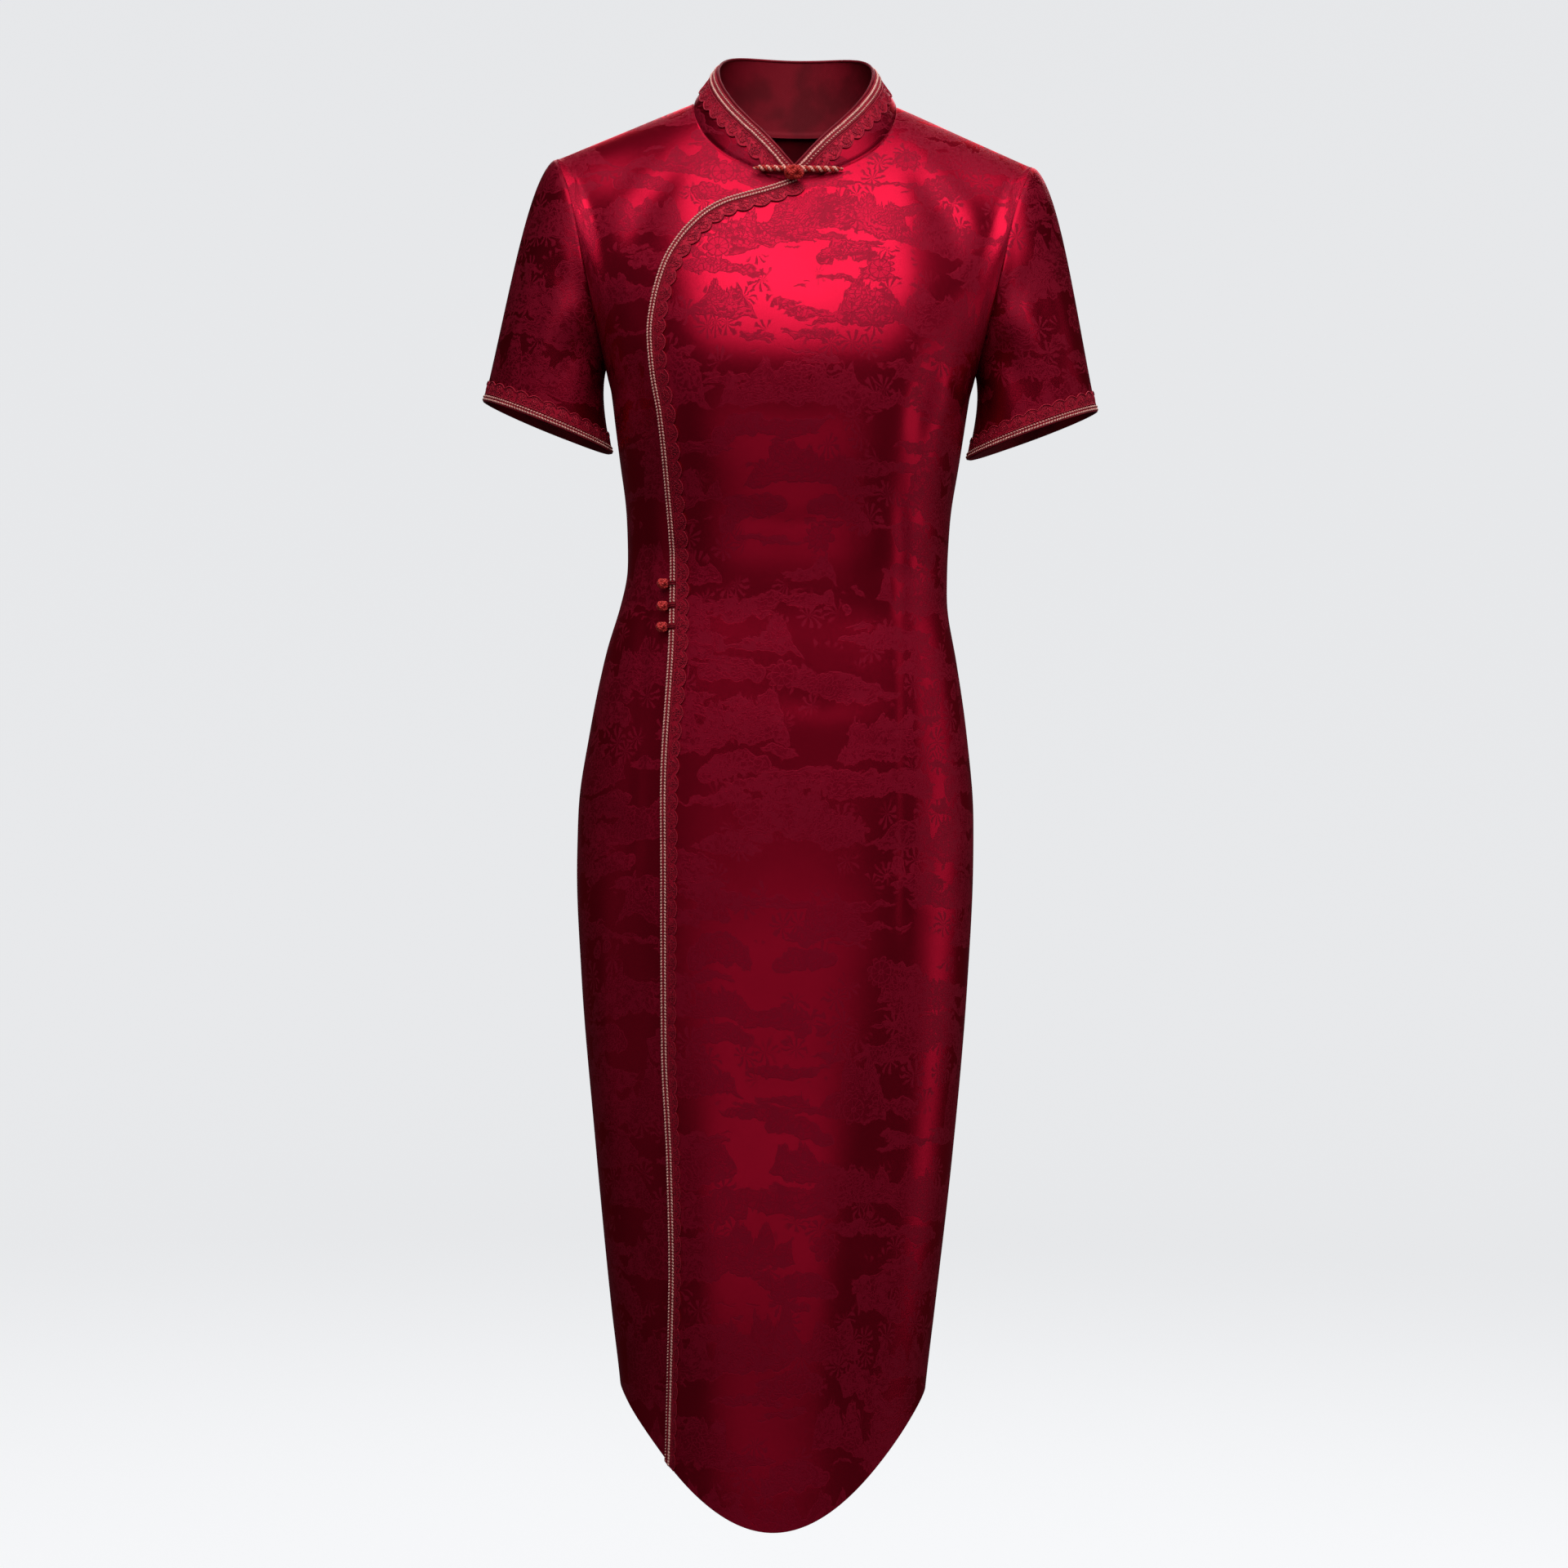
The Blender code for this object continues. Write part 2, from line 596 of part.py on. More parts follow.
def add_object(name, bm, recipe):
    bmesh.ops.recalc_face_normals(bm, faces=bm.faces)
    mesh = bpy.data.meshes.new(name)
    bm.to_mesh(mesh)
    bm.free()
    mesh.shade_smooth()
    mesh.set_sharp_from_angle(angle=math.radians(40))
    made = bpy.data.objects.new(name, mesh)
    mesh.materials.append(material(name, recipe))
    bpy.context.collection.objects.link(made)
    return made


def wall(name, outer, inner, recipe, round_about=False):
    """Closed solid between two grids of points, rows by columns. With round_about the
    last column joins the first."""
    rows, columns = outer.shape[:2]
    bm = bmesh.new()
    out = [[bm.verts.new(p) for p in row] for row in outer]
    inn = [[bm.verts.new(p) for p in row] for row in inner]
    last = columns if round_about else columns - 1
    for j in range(rows - 1):
        for i in range(last):
            k = (i + 1) % columns
            bm.faces.new((out[j][i], out[j][k], out[j + 1][k], out[j + 1][i]))
            bm.faces.new((inn[j + 1][i], inn[j + 1][k], inn[j][k], inn[j][i]))
    for i in range(last):
        k = (i + 1) % columns
        bm.faces.new((out[0][k], out[0][i], inn[0][i], inn[0][k]))
        bm.faces.new((out[-1][i], out[-1][k], inn[-1][k], inn[-1][i]))
    if not round_about:
        for j in range(rows - 1):
            bm.faces.new((out[j][0], out[j + 1][0], inn[j + 1][0], inn[j][0]))
            bm.faces.new((out[j + 1][-1], out[j][-1], inn[j][-1], inn[j + 1][-1]))
    return add_object(name, bm, recipe)


def tube(name, centres, radius, sides, recipe):
    """Round cord along a line of points, with flat ends."""
    centres = np.asarray(centres, float)
    heading = unit(np.gradient(centres, axis=0))
    side = unit(np.cross(heading, np.array([0.1, 1.0, 0.05])))
    up = np.cross(side, heading)
    bm = bmesh.new()
    rings = []
    for centre, s, u in zip(centres, side, up):
        turns = [2 * math.pi * k / sides for k in range(sides)]
        rings.append([bm.verts.new(centre + radius * (math.cos(t) * s + math.sin(t) * u))
                      for t in turns])
    for ring, following in zip(rings, rings[1:]):
        for k in range(sides):
            n = (k + 1) % sides
            bm.faces.new((ring[k], ring[n], following[n], following[k]))
    bm.faces.new(rings[0])
    bm.faces.new(rings[-1])
    return add_object(name, bm, recipe)


def ball(name, centre, radii, recipe, lobes=0, around=12, levels=8):
    """Ball, its surface waved by shallow lobes like a knotted cord."""
    bm = bmesh.new()
    bmesh.ops.create_uvsphere(bm, u_segments=around, v_segments=levels, radius=1.0)
    for vert in bm.verts:
        turn = math.atan2(vert.co.y, vert.co.x)
        swell = 1.0 - 0.06 * (1 - math.cos(lobes * turn + 3 * vert.co.z)) / 2
        vert.co = [centre[k] + radii[k] * vert.co[k] * swell for k in range(3)]
    return add_object(name, bm, recipe)


# ================================================================ cloth pieces
def half_columns():
    """Places across a panel's right half at its top edge, with its corners among them."""
    arm = np.linspace(0, TIP_AT, ARM_COLUMNS + 1)[:-1]
    shoulder = np.linspace(TIP_AT, NECK_AT, SHOULDER_COLUMNS + 1)[:-1]
    neck = neck_across(np.linspace(0, math.pi / 2, NECK_COLUMNS + 1))
    return np.concatenate([arm, shoulder, neck])


def panel_inner(outer, across, down, normal):
    """The wall's inner points; at the shoulder seams its edge keeps to the seam's plane."""
    near = np.minimum(across, 1 - across)
    seam = (down <= 0) & (near >= TIP_AT - STEP) & (near <= NECK_AT + STEP)
    level = np.where(seam[..., None], np.array([1.0, 0.0, 1.0]), 1.0)
    return outer - WALL * unit(normal * level)


def panel_grid(top_shares, low_shares, side_across, lengths):
    """Grid of places on the front between the opening's edge, share 0, and a side seam,
    share 1. Over the chest its rows fan out to even steps at the side."""
    edge_across, edge_down = placket_place(lengths)
    chest = edge_down < 1
    turning = ease(np.arange(len(lengths)) / FAN_ROWS)[:, None]
    shares = top_shares + (low_shares - top_shares) * turning
    across = edge_across[:, None] + (side_across - edge_across[:, None]) * shares
    top = panel_top(across, 1)
    edge_top = top[:, :1]
    edge_step = (edge_down[:, None] - edge_top) / (1 - edge_top)
    side_step = (np.arange(len(lengths)) / CHEST_ROWS)[:, None]
    step = edge_step + (side_step - edge_step) * ease(shares)
    down = np.where(chest[:, None], top + (1 - top) * np.clip(step, 0, 1),
                    np.maximum(edge_down, 1)[:, None])
    return across, down


def front_panel(lengths):
    top_shares = 2 * (0.5 - half_columns()[::-1])
    low_shares = np.concatenate([FRONT_LOW_SHARES, np.linspace(
        FRONT_LOW_SHARES[-1], 1, len(top_shares) - len(FRONT_LOW_SHARES) + 1)[1:]])
    across, down = panel_grid(top_shares, low_shares, PANEL_ACROSS[1], lengths)
    outer = front_point(across, down)
    wall("front_panel", outer,
         panel_inner(outer, across, down, panel_normal(across, down, 1)), "satin")
    return facets(outer)


def side_front_panel(lengths):
    top_shares = 2 * (0.5 - half_columns()[::-1])
    low_shares = np.linspace(0, 1, len(top_shares))
    across, down = panel_grid(top_shares, low_shares, PANEL_ACROSS[0], lengths)
    under_across, under_down = opening_line(lengths, np.full_like(lengths, UNDERLAP))
    begin = UNDERLAP_EASE * np.clip(np.arange(len(lengths)) / FAN_ROWS, 0.3, 1)[:, None]
    shares = (across - across[:, :1]) / (PANEL_ACROSS[0] - across[:, :1])
    sunk = UNDERLAP_DEPTH * ease(1 - shares / begin)
    across = np.concatenate([under_across[:, None], across], axis=1)
    down = np.concatenate([under_down[:, None], down], axis=1)
    sunk = np.concatenate([np.full_like(sunk[:, :1], UNDERLAP_DEPTH), sunk], axis=1)
    normal = panel_normal(across, down, 1)
    outer = front_point(across, down) - normal * sunk[..., None]
    wall("side_front_panel", outer, panel_inner(outer, across, down, normal), "satin")


def back_panel():
    half = half_columns()
    across = np.clip(np.concatenate([half, 1 - half[-2::-1]]), *PANEL_ACROSS)
    chest = np.linspace(0, 1, BACK_CHEST_ROWS + 1)
    rows = np.concatenate([chest, 1 + np.array(BACK_SKIRT_ROWS)])
    across, share = np.meshgrid(across, rows)
    top = panel_top(across, -1)
    down = np.where(share < 1, top + (1 - top) * share, share)
    outer = back_point(across, down)
    inner = panel_inner(outer, across, down, panel_normal(across, down, -1))
    wall("back_panel", outer, inner, "satin")


def sleeve(side, flip):
    turns = np.linspace(0, 2 * math.pi, 2 * ARM_COLUMNS + 1)[:-1]
    turn, along = np.meshgrid(turns, np.linspace(0, 1, SLEEVE_ROWS + 1))
    outer = sleeve_point(turn, along)
    inner = outer - WALL * sleeve_normal(turn, along)
    flips = np.full(turn.shape, flip)
    wall("sleeve_" + side, mirrored(outer, flips), mirrored(inner, flips), "satin",
         round_about=True)
    return facets(mirrored(outer, flips), round_about=True)


def collar_turns(first=0):
    """Turns from the collar's left front end, round the back, to its right front end;
    first leaves out that many at each end."""
    part = math.pi / 2 / NECK_COLUMNS
    half = np.concatenate([COLLAR_END_TURNS, np.arange(1, 2 * NECK_COLUMNS + 1) * part])[first:]
    return math.pi / 2 + np.concatenate([half, 2 * math.pi - half[-2::-1]])


def collar():
    turn, share = np.meshgrid(collar_turns(), COLLAR_ROWS)
    up = share * collar_height(turn)
    outer = collar_point(turn, up)
    wall("collar", outer, outer - WALL * collar_normal(turn, up), "dark_satin")
    return facets(outer)


# ================================================================ trims
def between(line, places):
    """Points along a line of points, at places counted in stations."""
    k = np.clip(np.floor(places).astype(int), 0, len(line) - 2)
    return line[k] + (line[k + 1] - line[k]) * (places - k)[:, None]


def scallop(phase):
    """Outline of one scallop: 0 in the valley, 1 on the lobe."""
    return np.abs(np.sin(math.pi * phase)) ** 0.8


def facets(grid, round_about=False):
    """The flat faces between a grid of points, rows by columns, ready to be measured."""
    rows, columns = grid.shape[:2]
    last = columns if round_about else columns - 1
    faces = [(j * columns + i, j * columns + (i + 1) % columns,
              (j + 1) * columns + (i + 1) % columns, (j + 1) * columns + i)
             for j in range(rows - 1) for i in range(last)]
    return BVHTree.FromPolygons([Vector(p) for p in grid.reshape(-1, 3)], faces)


def laid_on(base, line):
    """A line of points and normals, its points moved along the normals onto the faces."""
    points, normals = line
    moved = []
    for point, normal in zip(points, normals):
        hit = base.ray_cast(Vector(point + normal * LAY_REACH), Vector(-normal), 2 * LAY_REACH)[0]
        moved.append(point if hit is None else np.array(hit))
    return np.array(moved), normals


def strip(name, base, near, far, thickness, recipe, round_about=False):
    """Flat strip lifted off a base, between two lines of points and normals."""
    lines = laid_on(base, near), laid_on(base, far)
    low = np.stack([points + normals * TRIM_LIFT for points, normals in lines])
    high = np.stack([points + normals * (TRIM_LIFT + thickness) for points, normals in lines])
    return wall(name, high, low, recipe, round_about)


def share_line(near, far, share):
    """Line between two lines, at a share of the way from the near one."""
    share = np.asarray(share)[:, None]
    points = near[0] + (far[0] - near[0]) * share
    return points, unit(near[1] + (far[1] - near[1]) * share)


def scalloped(near, far, scallops):
    """Closer stations along two lines, and the place of each in its scallop."""
    lengths = running_length(near[0])
    phase = np.linspace(0, scallops, scallops * SCALLOP_STATIONS + 1)
    places = np.interp(phase * lengths[-1] / scallops, lengths, np.arange(len(lengths)))
    near = between(near[0], places), unit(between(near[1], places))
    far = between(far[0], places), unit(between(far[1], places))
    return near, far, phase


def placket_trims(lengths, base):
    edge = front_line(lengths, np.zeros_like(lengths))
    inner = front_line(lengths, np.full_like(lengths, BRAID_WIDTH))
    strip("placket_braid", base, edge, inner, BRAID_THICKNESS, "braid")

    def lace_size(name, line):
        return look_up(PLACKET_LACE, PLACKET_LACE_COLUMNS, "below", name, -line[0][:, 2])
    start = BRAID_WIDTH + LACE_SPACE
    near = front_line(lengths, np.full_like(lengths, start))
    far = front_line(lengths, start + lace_size("width", edge))
    near, far, phase = scalloped(near, far, PLACKET_SCALLOPS)
    cut_back = lace_size("lobe", near) / lace_size("width", near) * (1 - scallop(phase))
    far = share_line(near, far, 1 - cut_back)
    strip("placket_lace", base, near, far, LACE_THICKNESS, "lace")


def collar_line(turns, drop, lowest=COLLAR_BRAID_LOWEST):
    """Line on the collar that lies a distance in from its top edge and rounded ends."""
    up = collar_height(turns)
    edge = collar_point(turns, up)
    column_line = collar_point(turns, 1.0) - collar_point(turns, 0.0)
    along = np.sum(unit(column_line) * unit(np.gradient(edge, axis=0)), axis=1)
    stretch = 1 / np.sqrt(1 - np.minimum(np.abs(along), COLLAR_TURN_LIMIT) ** 2)
    share = drop * stretch / np.linalg.norm(column_line, axis=1)
    up = np.maximum(up - share, lowest)
    return collar_point(turns, up), collar_normal(turns, up)


def collar_trims(base):
    turns = collar_turns()
    strip("collar_braid", base, collar_line(turns, 0.0), collar_line(turns, COLLAR_BRAID_WIDTH),
          BRAID_THICKNESS, "braid")

    turns = collar_turns(first=COLLAR_LACE_FIRST)
    start = COLLAR_BRAID_WIDTH + LACE_SPACE
    near = collar_line(turns, start)
    far = collar_line(turns, start + COLLAR_LACE_WIDTH, lowest=COLLAR_LACE_LOWEST)
    near, far, phase = scalloped(near, far, COLLAR_SCALLOPS)
    cut_back = COLLAR_LACE_LOBE / COLLAR_LACE_WIDTH * (1 - scallop(phase))
    far = share_line(near, far, 1 - cut_back)
    strip("collar_lace", base, near, far, LACE_THICKNESS, "lace")


def sleeve_line(turns, up):
    """Line round the sleeve that lies a distance up from the cuff's edge."""
    along = np.ones_like(turns)
    _, down_arm = slopes(sleeve_point, turns, along, TURNS, SHARES)
    a, b = slide(sleeve_point, turns, along, -down_arm, up, TURNS, SHARES)
    return sleeve_point(a, b), sleeve_normal(a, b)


def cuff_trims(side, flip, base):
    def both(line):
        return [mirrored(part, np.full(part.shape[:-1], flip)) for part in line]
    turns = np.linspace(0, 2 * math.pi, 2 * ARM_COLUMNS + 1)[:-1]
    edge = sleeve_line(turns, np.zeros_like(turns))
    upper = sleeve_line(turns, np.full_like(turns, CUFF_BRAID_WIDTH))
    strip("cuff_braid_" + side, base, both(edge), both(upper), BRAID_THICKNESS, "braid",
          round_about=True)

    phase = np.linspace(0, CUFF_SCALLOPS, CUFF_SCALLOPS * SCALLOP_STATIONS + 1)[:-1]
    turns = phase / CUFF_SCALLOPS * 2 * math.pi
    start = CUFF_BRAID_WIDTH + CUFF_LACE_SPACE
    near = sleeve_line(turns, np.full_like(turns, start))
    far = sleeve_line(turns, start + CUFF_LACE_WIDTH - CUFF_LACE_LOBE * (1 - scallop(phase)))
    strip("cuff_lace_" + side, base, both(near), both(far), LACE_THICKNESS, "lace",
          round_about=True)


# ================================================================ closures
def frog():
    for side, way in (("right", -1), ("left", 1)):
        turns = math.pi / 2 + way * np.linspace(FROG_TURNS[0], FROG_TURNS[1], 7)
        up = np.full_like(turns, FROG_HEIGHT)
        centres = collar_point(turns, up) + collar_normal(turns, up) * FROG_LIFT
        tube("frog_arm_" + side, centres, FROG_CORD_RADIUS, 8, "cord")
    ball("frog_knot", KNOT_CENTRE, KNOT_RADII, "cord", lobes=4)


def waist_buttons():
    fine = np.linspace(0, PATH_LENGTH[-1], 3000)
    depth = -front_point(*placket_place(fine))[:, 2]
    for number, below in enumerate(BUTTON_BELOWS, start=1):
        across, down = placket_place(np.interp([below], depth, fine))
        edge = front_point(across, down)[0]
        normal = panel_normal(across, down, 1)[0]
        sideways = unit(slopes(front_point, across, down, PANEL_ACROSS, PANEL_DOWN)[0])[0]
        lift = BUTTON_RADIUS + CORD_GAP - UNDERLAP_DEPTH
        middle = edge - sideways * BUTTON_OUT + normal * lift
        ball(f"waist_button_{number}", middle, (BUTTON_RADIUS,) * 3, "cord", lobes=3)
        shares = np.linspace(0, 1, LOOP_STATIONS)
        line = [edge + sideways * (LOOP_START + LOOP_LENGTH * share)
                + normal * (LOOP_LIFT + LOOP_ARCH * math.sin(math.pi * share))
                for share in shares]
        tube(f"waist_loop_{number}", line, LOOP_RADIUS, 6, "dark_satin")


# ================================================================ the dress
def main():
    for old in list(bpy.data.objects):
        bpy.data.objects.remove(old, do_unlink=True)
    lengths = stations()
    placket_trims(lengths, front_panel(lengths))
    side_front_panel(lengths)
    back_panel()
    collar_trims(collar())
    for side, flip in (("right", False), ("left", True)):
        cuff_trims(side, flip, sleeve(side, flip))
    frog()
    waist_buttons()


main()
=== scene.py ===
"""The finished look of the cheongsam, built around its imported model.

Metres, +Z up, +X the wearer's left, +Y the back. The origin is the middle of the neck opening,
level with the neck ends of the shoulder seams. Lengths down the dress are distances below that
level, and a turn is an angle in radians.

Each cloth piece is a thin shell on the surface that its solid was cut from, with darts, seams and
soft creases pressed into it. Trims are laid on those shells: beads of thread on the braids, and
raised threads over a fine net on the laces.
"""
import math

import bpy
import numpy as np
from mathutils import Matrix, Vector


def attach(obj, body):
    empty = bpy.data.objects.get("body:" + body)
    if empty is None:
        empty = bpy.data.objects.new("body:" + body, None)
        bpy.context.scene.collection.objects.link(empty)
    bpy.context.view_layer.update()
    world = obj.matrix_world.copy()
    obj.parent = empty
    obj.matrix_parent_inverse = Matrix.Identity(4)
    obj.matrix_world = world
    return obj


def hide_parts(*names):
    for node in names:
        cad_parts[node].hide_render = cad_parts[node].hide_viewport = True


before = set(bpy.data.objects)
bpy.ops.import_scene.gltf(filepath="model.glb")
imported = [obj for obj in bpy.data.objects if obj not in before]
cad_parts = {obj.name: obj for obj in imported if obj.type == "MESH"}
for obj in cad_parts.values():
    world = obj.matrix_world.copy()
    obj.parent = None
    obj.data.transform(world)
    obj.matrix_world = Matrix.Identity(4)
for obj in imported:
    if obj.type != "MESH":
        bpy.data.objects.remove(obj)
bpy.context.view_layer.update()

# ---------------------------------------------------------------- the cut of the dress
CLOTH = 0.0009          # thickness of the brocade
SEAM_SHARE = 0.0003     # space left at each side seam, as a share of a panel's width
SHOULDER_GAP = 0.0003
ARMHOLE_GAP = 0.0005
STEP = 1e-4             # step used to measure slopes of a surface
SLIDE_STEPS = 4         # steps in which a place slides along a surface


class Table:
    """Rows of numbers, looked up by their first column along a smooth curve."""

    def __init__(self, names, *rows):
        self.columns = dict(zip(names.split(), np.array(rows).T))
        self.key = self.columns[names.split()[0]]

    def at(self, name, where):
        return smooth(self.key, self.columns[name], where)


BUST = 0.235
BODY = Table(
    "below half_width front back shift squareness",
    (0.235, 0.1420, 0.126, 0.099, 0.000, 2.45),
    (0.260, 0.1385, 0.123, 0.097, 0.000, 2.40),
    (0.285, 0.1350, 0.117, 0.095, 0.000, 2.35),
    (0.333, 0.1284, 0.103, 0.091, 0.000, 2.25),
    (0.374, 0.1270, 0.094, 0.089, 0.000, 2.20),
    (0.398, 0.1294, 0.093, 0.090, -0.002, 2.20),
    (0.439, 0.1390, 0.096, 0.098, -0.004, 2.20),
    (0.502, 0.1500, 0.101, 0.109, -0.005, 2.20),
    (0.566, 0.1572, 0.103, 0.115, -0.006, 2.20),
    (0.606, 0.1576, 0.103, 0.116, -0.006, 2.20),
    (0.697, 0.1535, 0.101, 0.110, -0.005, 2.15),
    (0.827, 0.1424, 0.098, 0.101, -0.003, 2.10),
    (0.957, 0.1287, 0.093, 0.094, -0.002, 2.05),
    (1.018, 0.1215, 0.090, 0.090, -0.001, 2.00),
    (1.118, 0.1130, 0.087, 0.087, 0.000, 2.00))
HEM_SIDE, HEM_DROP, HEM_ROUND = 1.018, 0.0995, 1.95

NECK_HALF_WIDTH, NECK_FRONT, NECK_BACK, NECK_SQUARENESS = 0.081, 0.066, 0.054, 2.5
NECK_BRIDGE = 0.034     # how steeply the shoulder line would go on over the neck
NECK_SEARCH = 0.8       # place down the chest that is below the neckline everywhere
NECK_HALVINGS = 24      # times that the search for the neckline halves its range
SHOULDER_TIP = np.array((-0.189, 0.004, -0.046))
SIDE_NECK = np.array((-0.081, 0.004, 0.000))
TIP_AT, NECK_AT = 0.19, 0.33
ARMHOLE = Table(
    "below half_width",
    (0.046, 0.1890), (0.065, 0.1815), (0.085, 0.1745), (0.119, 0.1665), (0.158, 0.1580),
    (0.195, 0.1495), (0.212, 0.1460))
ARMHOLE_FRONT, ARMHOLE_BACK = 0.052, 0.054
FRONT_YOKE = Table(
    "across x y z",
    (0.000, -0.1470, -0.002, -0.2200),
    (0.095, -0.1600, -0.057, -0.1590),
    (0.140, -0.1690, -0.056, -0.1060),
    (0.190, -0.1640, -0.038, -0.0600),
    (0.260, -0.1270, -0.033, -0.0330),
    (0.330, -0.0810, -0.029, -0.0080),
    (0.415, -0.0430, -0.036, -0.0212),
    (0.500, 0.0000, -0.043, -0.0433),
    (0.585, 0.0430, -0.036, -0.0212))
BACK_YOKE = Table(
    "across x y z",
    (0.000, -0.1470, 0.002, -0.2200),
    (0.095, -0.1600, 0.065, -0.1580),
    (0.140, -0.1690, 0.066, -0.1030),
    (0.190, -0.1640, 0.060, -0.0500),
    (0.260, -0.1270, 0.068, -0.0140),
    (0.330, -0.0810, 0.080, 0.0120),
    (0.415, -0.0430, 0.086, 0.0140),
    (0.500, 0.0000, 0.088, 0.0120),
    (0.585, 0.0430, 0.086, 0.0140))
ARRIVE_REACH = 0.40

CUFF_CENTRE = np.array((-0.1925, -0.002, -0.261))
CUFF_HALF_WIDTH, CUFF_HALF_DEPTH, CUFF_TILT = 0.0545, 0.049, math.radians(21.0)
SLEEVE = Table(
    "place out away down reach end_out end_reach",
    (-1.0, 0.30, 0.00, 0.95, 0.020, -0.20, 0.019),
    (0.0, 0.45, 0.12, 0.88, 0.034, 0.18, 0.045),
    (1.0, 0.91, 0.00, 0.41, 0.024, 0.23, 0.078))

COLLAR_TOP_HALF_WIDTH, COLLAR_TOP_MIDDLE, COLLAR_TOP_REACH = 0.062, 0.002, 0.054
COLLAR_TOP_FORWARD, COLLAR_TOP_SIDE, COLLAR_TOP_SLOPE, COLLAR_TOP_SAG = 0.004, 0.026, 0.039, 0.020
COLLAR_SEAM_GAP = 0.0004
COLLAR_END = Table(
    "turn share",
    (0.00, 0.24), (0.06, 0.40), (0.17, 0.62), (0.32, 0.80), (0.48, 0.91), (0.72, 0.98),
    (0.95, 1.00))

PLACKET = Table(
    "below x",
    (0.0700, 0.0000), (0.0783, -0.0205), (0.0843, -0.0380), (0.0907, -0.0555),
    (0.0990, -0.0690), (0.1097, -0.0803), (0.1228, -0.0905), (0.1380, -0.0990),
    (0.1550, -0.1047), (0.1740, -0.1087), (0.1940, -0.1107), (0.2270, -0.1077),
    (0.2590, -0.1017), (0.3070, -0.0962), (0.3800, -0.0907), (0.4160, -0.0907),
    (0.5420, -0.0952), (0.5970, -0.0942), (0.7470, -0.0912), (0.8360, -0.0857),
    (0.9330, -0.0827), (1.0700, -0.0837))
UNDERLAP, UNDERLAP_DEPTH, UNDERLAP_EASE = 0.018, 0.0018, 0.55
HEM_FROM = 1.75         # place down the body where trims begin to turn level

# ---------------------------------------------------------------- fineness of the shells
SHEET_COLUMNS = 241
CHEST_SHEET_ROWS, SKIRT_SHEET_ROWS = 121, 401
SOFTEN_ROWS, SOFTEN_COLUMNS, GUIDE_SOFTEN = 3.5, 3.0, 6.0
CHEST_STEPS = np.concatenate([[0, 0.003, 0.008, 0.016], np.linspace(0.028, 1, 84)])
SKIRT_STEPS = np.linspace(0, 1, 226)[1:]
SIDE_SHARES = (0.0, 0.0035, 0.009, 0.018)       # close columns beside a side seam
FAN_STEP = 0.30         # part of the chest over which the side front's columns spread
EVEN_STEP = 0.35        # part of the skirt over which the front's columns even out
ROLL, ROLL_REACH = 0.0006, 0.0017               # how a sewn edge turns in
SEAM_DEEP, SEAM_PAST = 0.0018, 0.00025          # its allowance goes in, and past the edge
SKIRT_HEM, SLEEVE_HEM = 0.030, 0.022            # depth of the turned-up hems
HEM_THICK, HEM_EASE = 0.0006, 0.004             # what a hem adds, and over what length
PUSH, PUSH_ROWS, PUSH_COLUMNS = 0.00006, 44, 8.0    # room made for rows beside a top edge
FOLD_LEAN = 0.25        # a cell whose normal leans further than this has folded over
PUSH_FADE = 4           # columns over which the push fades out
LINE_FINE = 12          # points of the edge's line to a column


# ================================================================ small maths
TURN = 2 * math.pi


def smooth(places, values, at):
    """Smooth curve through a table's values that never swings past them."""
    at = np.clip(np.asarray(at, float), places[0], places[-1])
    steps = np.diff(places)
    slopes = np.diff(values) / steps
    bends = np.zeros(len(values))
    bends[0], bends[-1] = slopes[0], slopes[-1]
    before, after = slopes[:-1], slopes[1:]
    same_way = before * after > 0
    safe_sum = np.where(same_way, before + after, 1.0)
    bends[1:-1] = np.where(same_way, 2 * before * after / safe_sum, 0.0)
    k = np.clip(np.searchsorted(places, at, side="right") - 1, 0, len(steps) - 1)
    t = (at - places[k]) / steps[k]
    rise = values[k] + t * t * (3 - 2 * t) * (values[k + 1] - values[k])
    return (rise + t * (1 - t) ** 2 * bends[k] * steps[k]
            + t * t * (t - 1) * bends[k + 1] * steps[k])


def stack(*parts):
    return np.stack(np.broadcast_arrays(*parts), axis=-1).astype(float)


def unit(vectors):
    return vectors / np.maximum(np.linalg.norm(vectors, axis=-1, keepdims=True), 1e-12)


def dot(a, b):
    return np.sum(a * b, axis=-1, keepdims=True)


def around(count):
    """Turns spread evenly round a circle."""
    return np.arange(count) * TURN / count


def ease(t):
    t = np.clip(t, 0.0, 1.0)
    return t * t * (3 - 2 * t)


def bezier(start, leave, arrive, end, t):
    t = np.asarray(t, float)[..., None]
    return ((1 - t) ** 3 * start + 3 * t * (1 - t) ** 2 * leave
            + 3 * t * t * (1 - t) * arrive + t ** 3 * end)


def soften(grid, sigma, axis):
    """Grid blurred along one axis; its first and last entries stay where they are."""
    reach = int(3 * sigma)
    pads = [(reach, reach) if k == axis else (0, 0) for k in range(grid.ndim)]
    padded = np.pad(grid, pads, mode="reflect", reflect_type="odd")
    offsets = np.arange(-reach, reach + 1)
    weights = np.exp(-(offsets / sigma) ** 2 / 2)
    total = sum(w * np.take(padded, range(k, k + grid.shape[axis]), axis)
                for k, w in enumerate(weights))
    return total / weights.sum()


def running_length(points):
    steps = np.linalg.norm(np.diff(points, axis=0), axis=-1)
    return np.concatenate([np.zeros_like(steps[:1]), np.cumsum(steps, axis=0)])


def mirrored(points, flip):
    """The same points with x turned round where flip is true."""
    sign = np.where(flip, -1.0, 1.0)
    return points * stack(sign, np.ones_like(sign), np.ones_like(sign))


